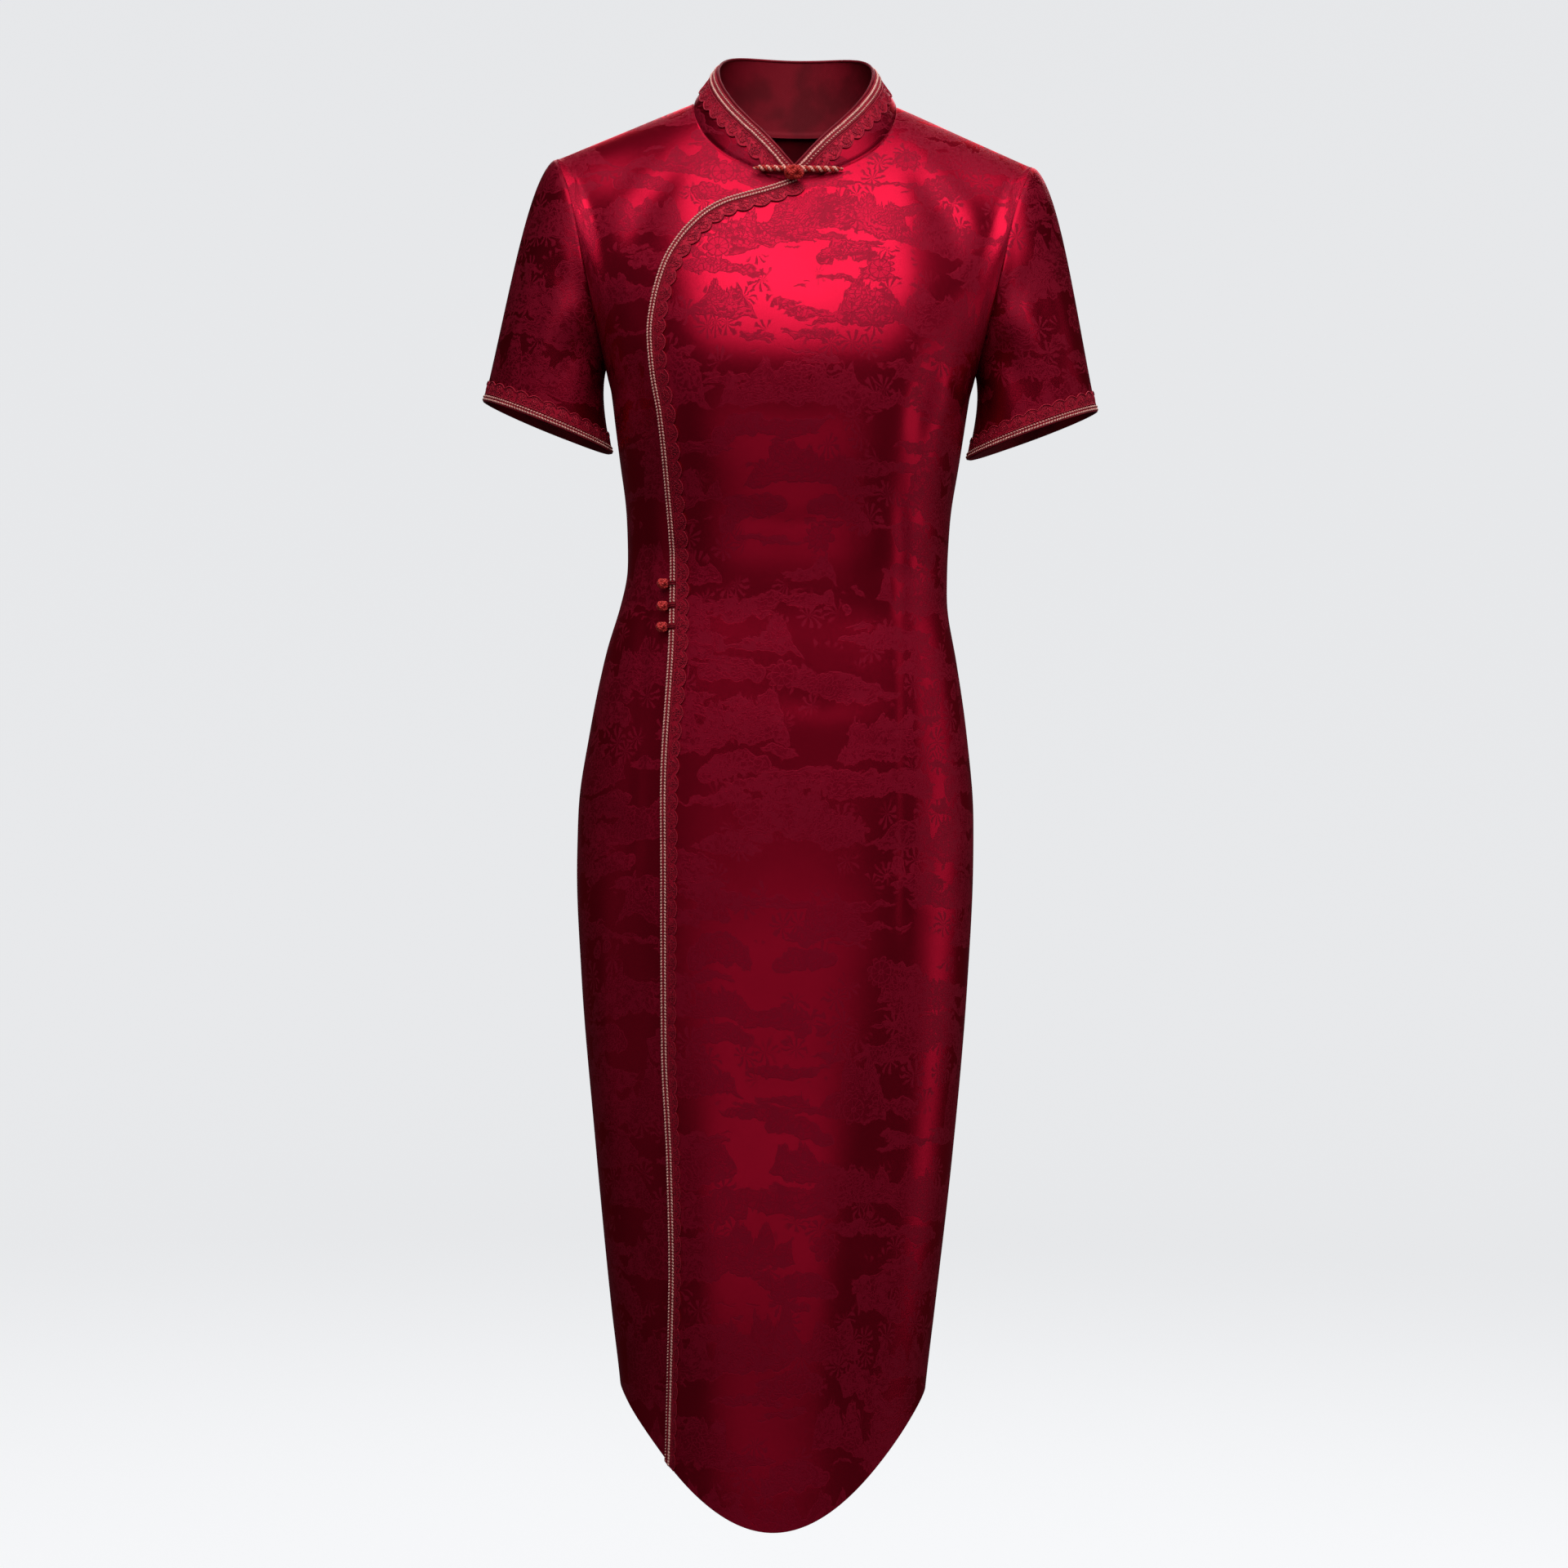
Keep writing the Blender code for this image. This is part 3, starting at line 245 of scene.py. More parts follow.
# ================================================================ the cut surfaces
def body_ring(turn, below):
    power = 2.0 / BODY.at("squareness", below)
    c, s = np.cos(turn), np.sin(turn)
    x = BODY.at("shift", below) - BODY.at("half_width", below) * np.sign(c) * np.abs(c) ** power
    depth = np.where(s >= 0, -BODY.at("front", below), BODY.at("back", below))
    return stack(x, depth * np.abs(s) ** power, -np.asarray(below, float))


def hem_below(turn):
    return HEM_SIDE + HEM_DROP * np.abs(np.sin(turn)) ** HEM_ROUND


def armhole(turn):
    """Right armhole: shoulder tip at 0, the front at a quarter turn, then the underarm."""
    top, bottom = ARMHOLE.key[0], ARMHOLE.key[-1]
    c, s = np.cos(turn), np.sin(turn)
    below = (top + bottom) / 2 - (bottom - top) / 2 * c
    reach = np.where(s >= 0, ARMHOLE_FRONT, ARMHOLE_BACK)
    return stack(-ARMHOLE.at("half_width", below), SHOULDER_TIP[1] * (1 + c) / 2 - reach * s,
                 -below)


def start_line(near, way):
    arm = armhole(way * math.pi * (1 - np.clip(near / TIP_AT, 0, 1)))
    share = np.clip((near - TIP_AT) / (NECK_AT - TIP_AT), 0, 1)[..., None]
    seam_side = np.array([0, way * SHOULDER_GAP / 2, 0])
    shoulder = SHOULDER_TIP + (SIDE_NECK - SHOULDER_TIP) * share - seam_side
    over = np.clip((near - NECK_AT) / (0.5 - NECK_AT), 0, 1)
    neck = SIDE_NECK - seam_side + stack(-SIDE_NECK[0] * over, 0 * over,
                                         NECK_BRIDGE * (over - over * over / 2))
    line = np.where((near < TIP_AT)[..., None], arm, shoulder)
    return np.where((near > NECK_AT)[..., None], neck, line)


def body_point(across, down, way):
    """Point on the body's front (way 1) or back (way -1): across from the right seam, 0, to
    the left, 1; down from the shoulders and armholes, 0, by the bust, 1, to the hem, 2."""
    across, down = np.broadcast_arrays(np.asarray(across, float), np.asarray(down, float))
    flip = across > 0.5
    near = np.where(flip, 1 - across, across)
    turn = way * math.pi * across
    lower = body_ring(turn, BUST + (hem_below(turn) - BUST) * np.clip(down - 1, 0, 1))
    start = mirrored(start_line(near, way), flip)
    yoke = FRONT_YOKE if way > 0 else BACK_YOKE
    first = mirrored(stack(*(yoke.at(name, near) for name in "xyz")), flip)
    end = body_ring(turn, np.full_like(turn, BUST))
    under = body_ring(turn, np.full_like(turn, BUST + 0.002))
    reach = ARRIVE_REACH * np.linalg.norm(end - first, axis=-1)
    last = end - unit(under - end) * reach[..., None]
    upper = bezier(start, first, last, end, np.clip(down, 0, 1))
    return np.where((down < 1)[..., None], upper, lower)


def sleeve_cut(turn, along):
    """Point on the right sleeve, from the armhole, 0, to the cuff, 1."""
    c, s = np.cos(turn), np.sin(turn)
    leave = stack(-SLEEVE.at("out", c), -np.sign(s) * SLEEVE.at("away", c) * np.abs(s),
                  -SLEEVE.at("down", c))
    start = armhole(turn) + ARMHOLE_GAP * unit(stack(-1.0, 0.0, -0.3 * (1 + c)))
    side = np.array([-math.cos(CUFF_TILT), 0, math.sin(CUFF_TILT)])
    end = (CUFF_CENTRE + side * (CUFF_HALF_WIDTH * c)[..., None]
           + np.array([0, -1, 0]) * (CUFF_HALF_DEPTH * s)[..., None])
    inward = unit(stack(-SLEEVE.at("end_out", c), np.zeros_like(c), -np.ones_like(c)))
    first = start + unit(leave) * SLEEVE.at("reach", c)[..., None]
    last = end - inward * SLEEVE.at("end_reach", c)[..., None]
    return bezier(start, first, last, end, along)


# ================================================================ creases and darts
CREASE_FADE = 0.35      # part of a crease's length over which each end fades


def relief(places, creases):
    """Height that soft ridges and troughs add at places in two dimensions."""
    total = np.zeros(places.shape[:-1])
    for crease in creases:
        height, width, *line = np.array(crease) / 1000
        line = np.reshape(line, (-1, 2))
        lengths = running_length(line)
        nearest = np.full(total.shape, np.inf)
        share = np.zeros(total.shape)
        for k in range(len(line) - 1):
            way = line[k + 1] - line[k]
            t = np.clip((places - line[k]) @ way / (way @ way), 0, 1)
            gap = np.linalg.norm(places - line[k] - t[..., None] * way, axis=-1)
            closer = gap < nearest
            nearest = np.where(closer, gap, nearest)
            at = (lengths[k] + t * (lengths[k + 1] - lengths[k])) / lengths[-1]
            share = np.where(closer, at, share)
        fade = ease(share / CREASE_FADE) * ease((1 - share) / CREASE_FADE)
        total += height * np.exp(-(nearest / width) ** 2) * (0.25 + 0.75 * fade)
    return total


# Creases in millimetres: height, half width, then x and z of each point of the line.
FRONT_CREASES = (
    (-2.2, 8.5, 109, -208, 107, -230, 100, -252, 98, -290),
    (1.5, 8, 124, -215, 120, -240, 113, -268),
    (-1.3, 3, 127.5, -228.5, 141.7, -261.5),
    (-1.4, 7, 147, -252, 134, -241, 120, -226),
    (-1.8, 8, -124, -190, -122, -222, -116, -255, -112, -300),
    (1.2, 8, -136, -200, -132, -235, -126, -270),
    (-1.2, 6.5, -147, -250, -136, -240, -125, -228),
    (-1.2, 10, -128, -352, -100, -365, -66, -361),
    (-1.1, 9, 127, -365, 98, -378, 60, -372),
    (-1, 8.5, 128, -398, 104, -402, 76, -412),
    (1, 11, 120, -340, 85, -350, 50, -345),
    (-0.9, 9, -130, -395, -112, -405, -98, -404),
    (-1, 12, -45, -335, 0, -345, 40, -338),
    (-1, 14, -20, -470, 30, -480, 70, -470),
    (-1.6, 11, -85, -52, -112, -92, -132, -140),
    (-1.8, 12, 85, -50, 115, -92, 136, -142),
    (1.4, 12, 105, -55, 135, -90, 150, -120),
    (1.2, 11, -105, -55, -134, -90, -150, -120),
    (-1.4, 16, 20, -110, 60, -135, 95, -175),
    (-1, 15, -10, -120, -40, -150, -60, -190),
    (1.6, 19, 122, -640, 118, -760, 108, -900, 100, -1000),
    (-1.8, 20, 88, -690, 82, -820, 74, -960, 70, -1060),
    (1.6, 21, 36, -760, 34, -900, 30, -1080),
    (-1.5, 20, -12, -780, -14, -930, -16, -1100),
    (1.4, 19, -55, -740, -53, -900, -50, -1080),
    (1.8, 11, -140, -640, -136, -740, -128, -860),
    (-1.6, 15, -118, -620, -116, -760, -108, -920, -102, -1000),
    (-1.2, 13, -152, -560, -120, -590, -100, -592),
    (-1.2, 15, 152, -548, 110, -590, 60, -600),
    (-1, 14, 150, -610, 105, -640, 70, -642))
BACK_CREASES = (
    (-2, 11, -140, -372, -95, -388, -50, -380),
    (-1.8, 11, 138, -360, 98, -380, 56, -374),
    (1.6, 12, -120, -350, -80, -362, -30, -352),
    (1.4, 12, 122, -338, 82, -352, 40, -346),
    (-1.6, 13, -60, -405, 0, -416, 55, -402),
    (-1.4, 10, 128, -404, 100, -412, 70, -424),
    (-2, 13, -86, -30, -116, -85, -140, -150),
    (-1.8, 13, 86, -28, 118, -90, 140, -152),
    (1.4, 14, 140, -250, 105, -290, 80, -330),
    (1.4, 14, -142, -240, -108, -285, -86, -330),
    (-1.2, 20, -30, -90, 0, -160, 20, -250),
    (-1.8, 20, -80, -640, -78, -780, -66, -960, -60, -1060),
    (1.7, 20, -36, -700, -30, -880, -26, -1080),
    (-1.6, 20, 16, -720, 18, -900, 18, -1100),
    (1.7, 21, 64, -660, 60, -840, 54, -1040),
    (-1.5, 18, 110, -620, 104, -780, 92, -960),
    (1.4, 18, -120, -610, -112, -780, -100, -960),
    (-1.2, 16, -150, -540, -100, -570, -50, -575),
    (-1.2, 16, 150, -556, 104, -582, 50, -580))
# Creases of a sleeve: places are the length round it from its top, forward, and down it.
SLEEVE_CREASES = (
    (-2.6, 11, 150, 10, 118, 55, 98, 120, 92, 180),
    (2.2, 11, 128, 10, 98, 55, 76, 120, 70, 180),
    (-1.8, 12, 86, 30, 68, 80, 54, 150),
    (-1.4, 12, 40, 40, 30, 100, 26, 160),
    (-1.4, 8, 165, 30, 140, 90, 132, 150),
    (-2.4, 12, -150, 10, -120, 55, -98, 120, -90, 180),
    (2, 11, -126, 15, -98, 60, -78, 130),
    (-1.6, 12, -80, 40, -60, 90, -48, 160),
    (1.2, 12, -30, 60, -22, 110, -20, 170))
SLEEVE_ROUND, SLEEVE_LONG = 0.054, 0.21         # its mean radius and length, for those places
# Waist darts: the line down each, and the side on which it lies.
FRONT_DARTS = (
    (Table("below x", (0.300, 0.0860), (0.395, 0.0905), (0.500, 0.0925), (0.690, 0.0950)), 1),
    (Table("below x", (0.300, 0.1120), (0.395, 0.1120), (0.500, 0.1130), (0.660, 0.1155)), -1))
BACK_DART = Table("below x", (0.260, 0.0720), (0.380, 0.0700), (0.560, 0.0740), (0.620, 0.0760))
BACK_DARTS = ((BACK_DART, 1), (BACK_DART, -1))
DART_PINCH, DART_PINCH_WIDTH = 0.0009, 0.0055


# ================================================================ sheets
class Sheet:
    """A smooth surface through a grid of points: rows by columns of points, normals and
    cloth places, which are lengths along the cloth across and down."""

    def __init__(self, points, columns, rows, inside, creases=(), crease_places=None,
                 fade=None, origin=(0, 0)):
        guide = self.facing(soften(soften(points, GUIDE_SOFTEN, 0), GUIDE_SOFTEN, 1), inside)
        if creases:
            flat = points[..., [0, 2]] if crease_places is None else crease_places
            points = points + guide * (relief(flat, creases) * fade)[..., None]
        normals = self.facing(points, inside)
        normals = np.where(dot(normals, guide) < 0.7, guide, normals)
        across = np.swapaxes(running_length(np.swapaxes(points, 0, 1)), 0, 1)
        down = running_length(points)
        row, column = origin
        self.columns, self.rows = columns, rows
        cloth = stack(across - across[:, column:column + 1], down - down[row:row + 1])
        grid = np.concatenate([points, normals, cloth], axis=-1)
        self.grid = np.pad(grid, ((1, 1), (1, 1), (0, 0)), mode="reflect", reflect_type="odd")

    @staticmethod
    def facing(points, inside):
        normals = unit(np.cross(np.gradient(points, axis=1), np.gradient(points, axis=0)))
        return normals * np.where(dot(normals, points - inside) < 0, -1.0, 1.0)

    @staticmethod
    def weights(t):
        return (-t / 2 + t * t - t ** 3 / 2, 1 - 2.5 * t * t + 1.5 * t ** 3,
                t / 2 + 2 * t * t - 1.5 * t ** 3, -t * t / 2 + t ** 3 / 2)

    def sample(self, a, b):
        a, b = np.broadcast_arrays(np.asarray(a, float), np.asarray(b, float))
        i = np.interp(a, self.columns, np.arange(len(self.columns)))
        j = np.interp(b, self.rows, np.arange(len(self.rows)))
        i0 = np.clip(np.floor(i).astype(int), 0, len(self.columns) - 2)
        j0 = np.clip(np.floor(j).astype(int), 0, len(self.rows) - 2)
        total = 0.0
        for m, row_weight in enumerate(self.weights(j - j0)):
            for n, column_weight in enumerate(self.weights(i - i0)):
                total = total + self.grid[j0 + m, i0 + n] * (row_weight * column_weight)[..., None]
        return total

    def cut(self, a, b):
        """Points, normals and cloth places."""
        sampled = self.sample(a, b)
        return sampled[..., :3], unit(sampled[..., 3:6]), sampled[..., 6:]

    def point(self, a, b):
        return self.cut(a, b)[0]

    def normal(self, a, b):
        return self.cut(a, b)[1]

    def slopes(self, a, b):
        low_a, high_a = (np.clip(a + s, self.columns[0], self.columns[-1]) for s in (-STEP, STEP))
        low_b, high_b = (np.clip(b + s, self.rows[0], self.rows[-1]) for s in (-STEP, STEP))
        along_a = (self.point(high_a, b) - self.point(low_a, b)) / (high_a - low_a)[..., None]
        along_b = (self.point(a, high_b) - self.point(a, low_b)) / (high_b - low_b)[..., None]
        return along_a, along_b

    def slide(self, a, b, heading, distance):
        """Place reached by going a distance along the surface in a heading."""
        for _ in range(SLIDE_STEPS):
            along_a, along_b = self.slopes(a, b)
            normal = unit(np.cross(along_a, along_b))
            step = (distance / SLIDE_STEPS)[..., None]
            move = unit(heading - normal * dot(heading, normal)) * step
            aa, ab, bb = (dot(p, q)[..., 0] for p, q in (
                (along_a, along_a), (along_a, along_b), (along_b, along_b)))
            ma, mb = dot(along_a, move)[..., 0], dot(along_b, move)[..., 0]
            det = aa * bb - ab * ab
            a = np.clip(a + (ma * bb - mb * ab) / det, self.columns[0], self.columns[-1])
            b = np.clip(b + (mb * aa - ma * ab) / det, self.rows[0], self.rows[-1])
        return a, b


def body_sheet(way):
    columns = np.linspace(SEAM_SHARE, 1 - SEAM_SHARE, SHEET_COLUMNS)
    rows = np.concatenate([np.linspace(0, 1, CHEST_SHEET_ROWS),
                           np.linspace(1, 2, SKIRT_SHEET_ROWS)[1:]])
    across, down = np.meshgrid(columns, rows)
    cut = body_point(across, down, way)
    soft = soften(soften(cut, SOFTEN_ROWS, 0), SOFTEN_COLUMNS, 1)
    edge = np.minimum(across, 1 - across)
    # Blurring and creases fade out towards the armholes, seams and hem, which stay on the cut.
    softened = ease(down / (0.12 + 0.55 * ease((0.38 - edge) / 0.14)))
    points = cut + (soft - cut) * softened[..., None]
    axis = points * np.array([0, 0, 1.0]) + np.array([0, 0, -0.06])
    fade = ease((edge - 0.004) / 0.05) * ease(down / 0.08) * ease((2 - down) / 0.02 + 0.6)
    normals = Sheet.facing(points, axis)
    for dart, side in FRONT_DARTS if way > 0 else BACK_DARTS:
        gap = points[..., 0] - dart.at("x", -points[..., 2]) * side
        top, bottom = dart.key[0], dart.key[-1]
        there = ease((-points[..., 2] - top) / 0.05) * ease((bottom + points[..., 2]) / 0.08)
        pinch = DART_PINCH * there * np.exp(-(gap / DART_PINCH_WIDTH) ** 2)
        points = points - normals * pinch[..., None]
    middle = (CHEST_SHEET_ROWS - 1, SHEET_COLUMNS // 2)
    return Sheet(points, columns, rows, axis, FRONT_CREASES if way > 0 else BACK_CREASES,
                 fade=fade, origin=middle)


FRONT, BACK = body_sheet(1), body_sheet(-1)


def neck_top(across, way):
    """How far down the body a panel's top edge lies: more than 0 at the neck opening."""
    across = np.asarray(across, float)
    sheet, reach = (FRONT, NECK_FRONT) if way > 0 else (BACK, NECK_BACK)
    low, high = np.zeros_like(across), np.full_like(across, NECK_SEARCH)
    for _ in range(NECK_HALVINGS):
        middle = (low + high) / 2
        point = sheet.point(across, middle)
        wide = np.abs(point[..., 0] / NECK_HALF_WIDTH) ** NECK_SQUARENESS
        deep = np.abs((point[..., 1] - SIDE_NECK[1]) / reach) ** NECK_SQUARENESS
        inside = wide + deep < 1
        low, high = np.where(inside, middle, low), np.where(inside, high, middle)
    return np.where(np.minimum(across, 1 - across) > NECK_AT, low, 0.0)


def neckline(turn):
    near = NECK_AT + (0.5 - NECK_AT) * (1 - np.abs(np.cos(turn)))
    across = np.where(np.cos(turn) < 0, 1 - near, near)
    front = FRONT.point(across, neck_top(across, 1))
    back = BACK.point(across, neck_top(across, -1))
    return np.where((np.sin(turn) >= 0)[..., None], front, back)


# ================================================================ the opening's path
PATH_FINE, PATH_ROUNDS = 900, 60    # points along it, and steps that bring them to their places


def placket_path():
    """Places across and down the front along the opening's edge, and the length so far."""
    top, bottom = PLACKET.key[0], PLACKET.key[-1]
    below = top + (bottom - top) * np.linspace(0, 1, PATH_FINE) ** 1.6
    x = PLACKET.at("x", below)
    across, down = 0.5 + x * 1.6, np.clip(below / BUST, 0.3, 1.6)
    for _ in range(PATH_ROUNDS):
        point = FRONT.point(across, down)
        along_a, along_b = FRONT.slopes(across, down)
        dx, dz = x - point[..., 0], -below - point[..., 2]
        det = along_a[..., 0] * along_b[..., 2] - along_b[..., 0] * along_a[..., 2]
        det = np.where(np.abs(det) < 1e-6, 1e-6, det)
        move_a = (dx * along_b[..., 2] - dz * along_b[..., 0]) / det
        move_b = (dz * along_a[..., 0] - dx * along_a[..., 2]) / det
        across = np.clip(across + np.clip(move_a, -0.03, 0.03), 0.02, 0.98)
        down = np.clip(down + np.clip(move_b, -0.06, 0.06), 0.0, 2.0)
    across[0], down[0], down[-1] = 0.5, neck_top(np.array(0.5), 1), 2.0
    length = running_length(FRONT.point(across, down))
    even = np.linspace(0, length[-1], 2 * PATH_FINE)
    across, down = (soften(np.interp(even, length, p), 6.0, 0) for p in (across, down))
    return even, across, down


PATH_LENGTH, PATH_ACROSS, PATH_DOWN = placket_path()


def placket_place(length):
    return np.interp(length, PATH_LENGTH, PATH_ACROSS), np.interp(length, PATH_LENGTH, PATH_DOWN)


def opening_line(lengths, distance):
    """Places on the front that keep a distance inside the opening's edge. Near the hem they
    keep level with it."""
    across, down = placket_place(lengths)
    edge = FRONT.point(across, down)
    normal = FRONT.normal(across, down)
    square = unit(np.cross(normal, unit(np.gradient(edge, axis=0))))
    level = unit(FRONT.slopes(across, down)[0])
    near_hem = ease((down - HEM_FROM) / (2 - HEM_FROM) * 1.2)[:, None]
    aim = unit(square * (1 - near_hem) + level * near_hem)
    length = distance / np.sum(aim * square, axis=1)
    a, b = FRONT.slide(across, down, aim, length)
    return a, np.where(down > 1.9999, 2.0, b)


# ================================================================ meshes
CLOTH_SHARP, TRIM_SHARP = math.radians(42), math.radians(80)    # edges sharper than this show


def linked(name, data):
    """A new object in the scene."""
    made = bpy.data.objects.new(name, data)
    bpy.context.scene.collection.objects.link(made)
    return made


class Build:
    """Points, faces, cloth places and material numbers of one piece, gathered in parts."""

    def __init__(self):
        self.points, self.faces, self.places, self.marks, self.count = [], [], [], [], 0
        self.normals = None

    def grid(self, points, places, mark=0, round_rows=False, round_columns=False, turned=False):
        """Four-sided faces over a grid of points, rows by columns."""
        rows, columns = points.shape[:2]
        number = self.count + np.arange(rows * columns).reshape(rows, columns)
        if round_rows:
            number = np.concatenate([number, number[:1]], axis=0)
        if round_columns:
            number = np.concatenate([number, number[:, :1]], axis=1)
        faces = np.stack([number[:-1, :-1], number[:-1, 1:], number[1:, 1:], number[1:, :-1]],
                         axis=-1).reshape(-1, 4)
        self.join(faces[:, ::-1] if turned else faces, mark)
        self.points.append(points.reshape(-1, 3))
        self.places.append(np.broadcast_to(places, points.shape[:2] + (2,)).reshape(-1, 2))
        self.count += rows * columns
        return number

    def join(self, faces, mark=0):
        self.faces.append(faces)
        self.marks.append(np.full(len(faces), mark))

    def mesh(self, name, *materials):
        mesh = bpy.data.meshes.new(name)
        faces = np.concatenate(self.faces)
        mesh.from_pydata(np.concatenate(self.points).tolist(), [], faces.tolist())
        for material in materials:
            mesh.materials.append(material)
        return mesh, faces

    def piece(self, name, keys, replaced, slot, sharp=TRIM_SHARP):
        """The finished piece in the materials of these keys, riding on the one body."""
        mesh, faces = self.mesh(name, *(MATERIALS[key] for key in keys.split()))
        marks = np.concatenate(self.marks).astype(np.int32)
        mesh.polygons.foreach_set("material_index", marks)
        layer = mesh.uv_layers.new(name="cloth")
        places = np.concatenate(self.places).astype(np.float32)
        layer.data.foreach_set("uv", places[faces.ravel()].ravel())
        mesh.shade_smooth()
        if self.normals is None:
            mesh.set_sharp_from_angle(angle=sharp)
        else:
            mesh.normals_split_custom_set_from_vertices(self.normals.tolist())
        mesh.update()
        made = linked(name, mesh)
        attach(made, "root")
        if replaced:
            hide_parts(*replaced)
        return made


def shell(outer, inner, places, round_columns=False, normals=None):
    """Closed thin shell of cloth: its outside, its inside and its edges."""
    facing = np.cross(np.diff(outer, axis=0)[:, :-1], np.diff(outer, axis=1)[:-1])
    if dot(facing, (outer - inner)[:-1, :-1]).sum() < 0:
        outer, inner, places = (grid[:, ::-1] for grid in (outer, inner, places))
        normals = None if normals is None else normals[:, ::-1]
    build = Build()
    if normals is not None:
        build.normals = np.concatenate([normals.reshape(-1, 3), -normals.reshape(-1, 3)])
    out = build.grid(outer, places, 0, round_columns=round_columns, turned=True)
    inn = build.grid(inner, places, 1, round_columns=round_columns)
    edges = [(out[0], inn[0], True), (out[-1], inn[-1], False)]
    if not round_columns:
        edges += [(out[:, 0], inn[:, 0], False), (out[:, -1], inn[:, -1], True)]
    for a, b, turned in edges:
        faces = np.stack([a[:-1], a[1:], b[1:], b[:-1]], axis=-1)
        build.join(faces[:, ::-1] if turned else faces)
    return build


def tube(build, centres, radius, sides=6, closed=False, mark=0, hint=None):
    """Round thread along a line of points; its ends are closed by a point."""
    centres = np.asarray(centres, float)
    count = len(centres)
    radius = np.broadcast_to(radius, (count,))
    if closed:
        heading = unit(np.roll(centres, -1, axis=0) - np.roll(centres, 1, axis=0))
    else:
        heading = unit(np.gradient(centres, axis=0))
    hint = np.array([0.12, 1.0, 0.05]) if hint is None else hint
    side = unit(np.cross(heading, hint))
    up = np.cross(side, heading)
    turns = around(sides)[None, :, None]
    ring = side[:, None] * np.cos(turns) + up[:, None] * np.sin(turns)
    points = centres[:, None] + ring * radius[:, None, None]
    if not closed:
        tip = radius[[0, -1], None] * 0.6 * heading[[0, -1]]
        first = np.broadcast_to(centres[0] - tip[0], (1, sides, 3))
        last = np.broadcast_to(centres[-1] + tip[1], (1, sides, 3))
        points = np.concatenate([first, points, last])
    length = running_length(points[:, 0])
    places = stack(turns[..., 0] / TURN * 0.01, length[:, None])
    build.grid(points, places, mark, round_rows=closed, round_columns=True)


# ================================================================ materials
def feed(tree, item, socket):
    """Links a value or another socket to a socket, or sets it to a number or a colour."""
    item = item.socket if isinstance(item, Value) else item
    if isinstance(item, bpy.types.NodeSocket):
        tree.links.new(item, socket)
    else:
        socket.default_value = (*item, 1.0) if isinstance(item, tuple) else item


def node(tree, kind, inputs, **settings):
    """Outputs of a new node with its own settings, its inputs fed by name or number."""
    made = tree.nodes.new("ShaderNode" + kind)
    for name, item in settings.items():
        setattr(made, name, item)
    for name, item in inputs.items():
        feed(tree, item, made.inputs[name])
    return made.outputs


class Value:
    """A number at each point of a surface, worked out by a material's nodes."""

    def __init__(self, tree, socket):
        self.tree, self.socket = tree, socket

    def math(self, operation, *others):
        inputs = dict(enumerate((self, *others)))
        return Value(self.tree, node(self.tree, "Math", inputs, operation=operation)[0])

    def __add__(self, other):
        return self.math("ADD", other)

    def __sub__(self, other):
        return self.math("SUBTRACT", other)

    def __rsub__(self, other):
        return self * -1.0 + other

    def __mul__(self, other):
        return self.math("MULTIPLY", other)

    def __truediv__(self, other):
        return self.math("DIVIDE", other)

    def __or__(self, other):
        """The larger of two numbers: what lies in either shape."""
        return self.math("MAXIMUM", other)

    def __and__(self, other):
        """The smaller of two numbers: what lies in both shapes."""
        return self.math("MINIMUM", other)

    def wave(self):
        """Sine of a number of turns."""
        return (self * TURN).math("SINE")

    def within(self, low, high):
        """0 below the low end, 1 above the high end, and smooth between them."""
        return Value(self.tree, node(
            self.tree, "MapRange", {"Value": self, "From Min": low, "From Max": high},
            interpolation_type="SMOOTHSTEP")["Result"])


def shade(colour, share):
    return tuple(c * share for c in colour)


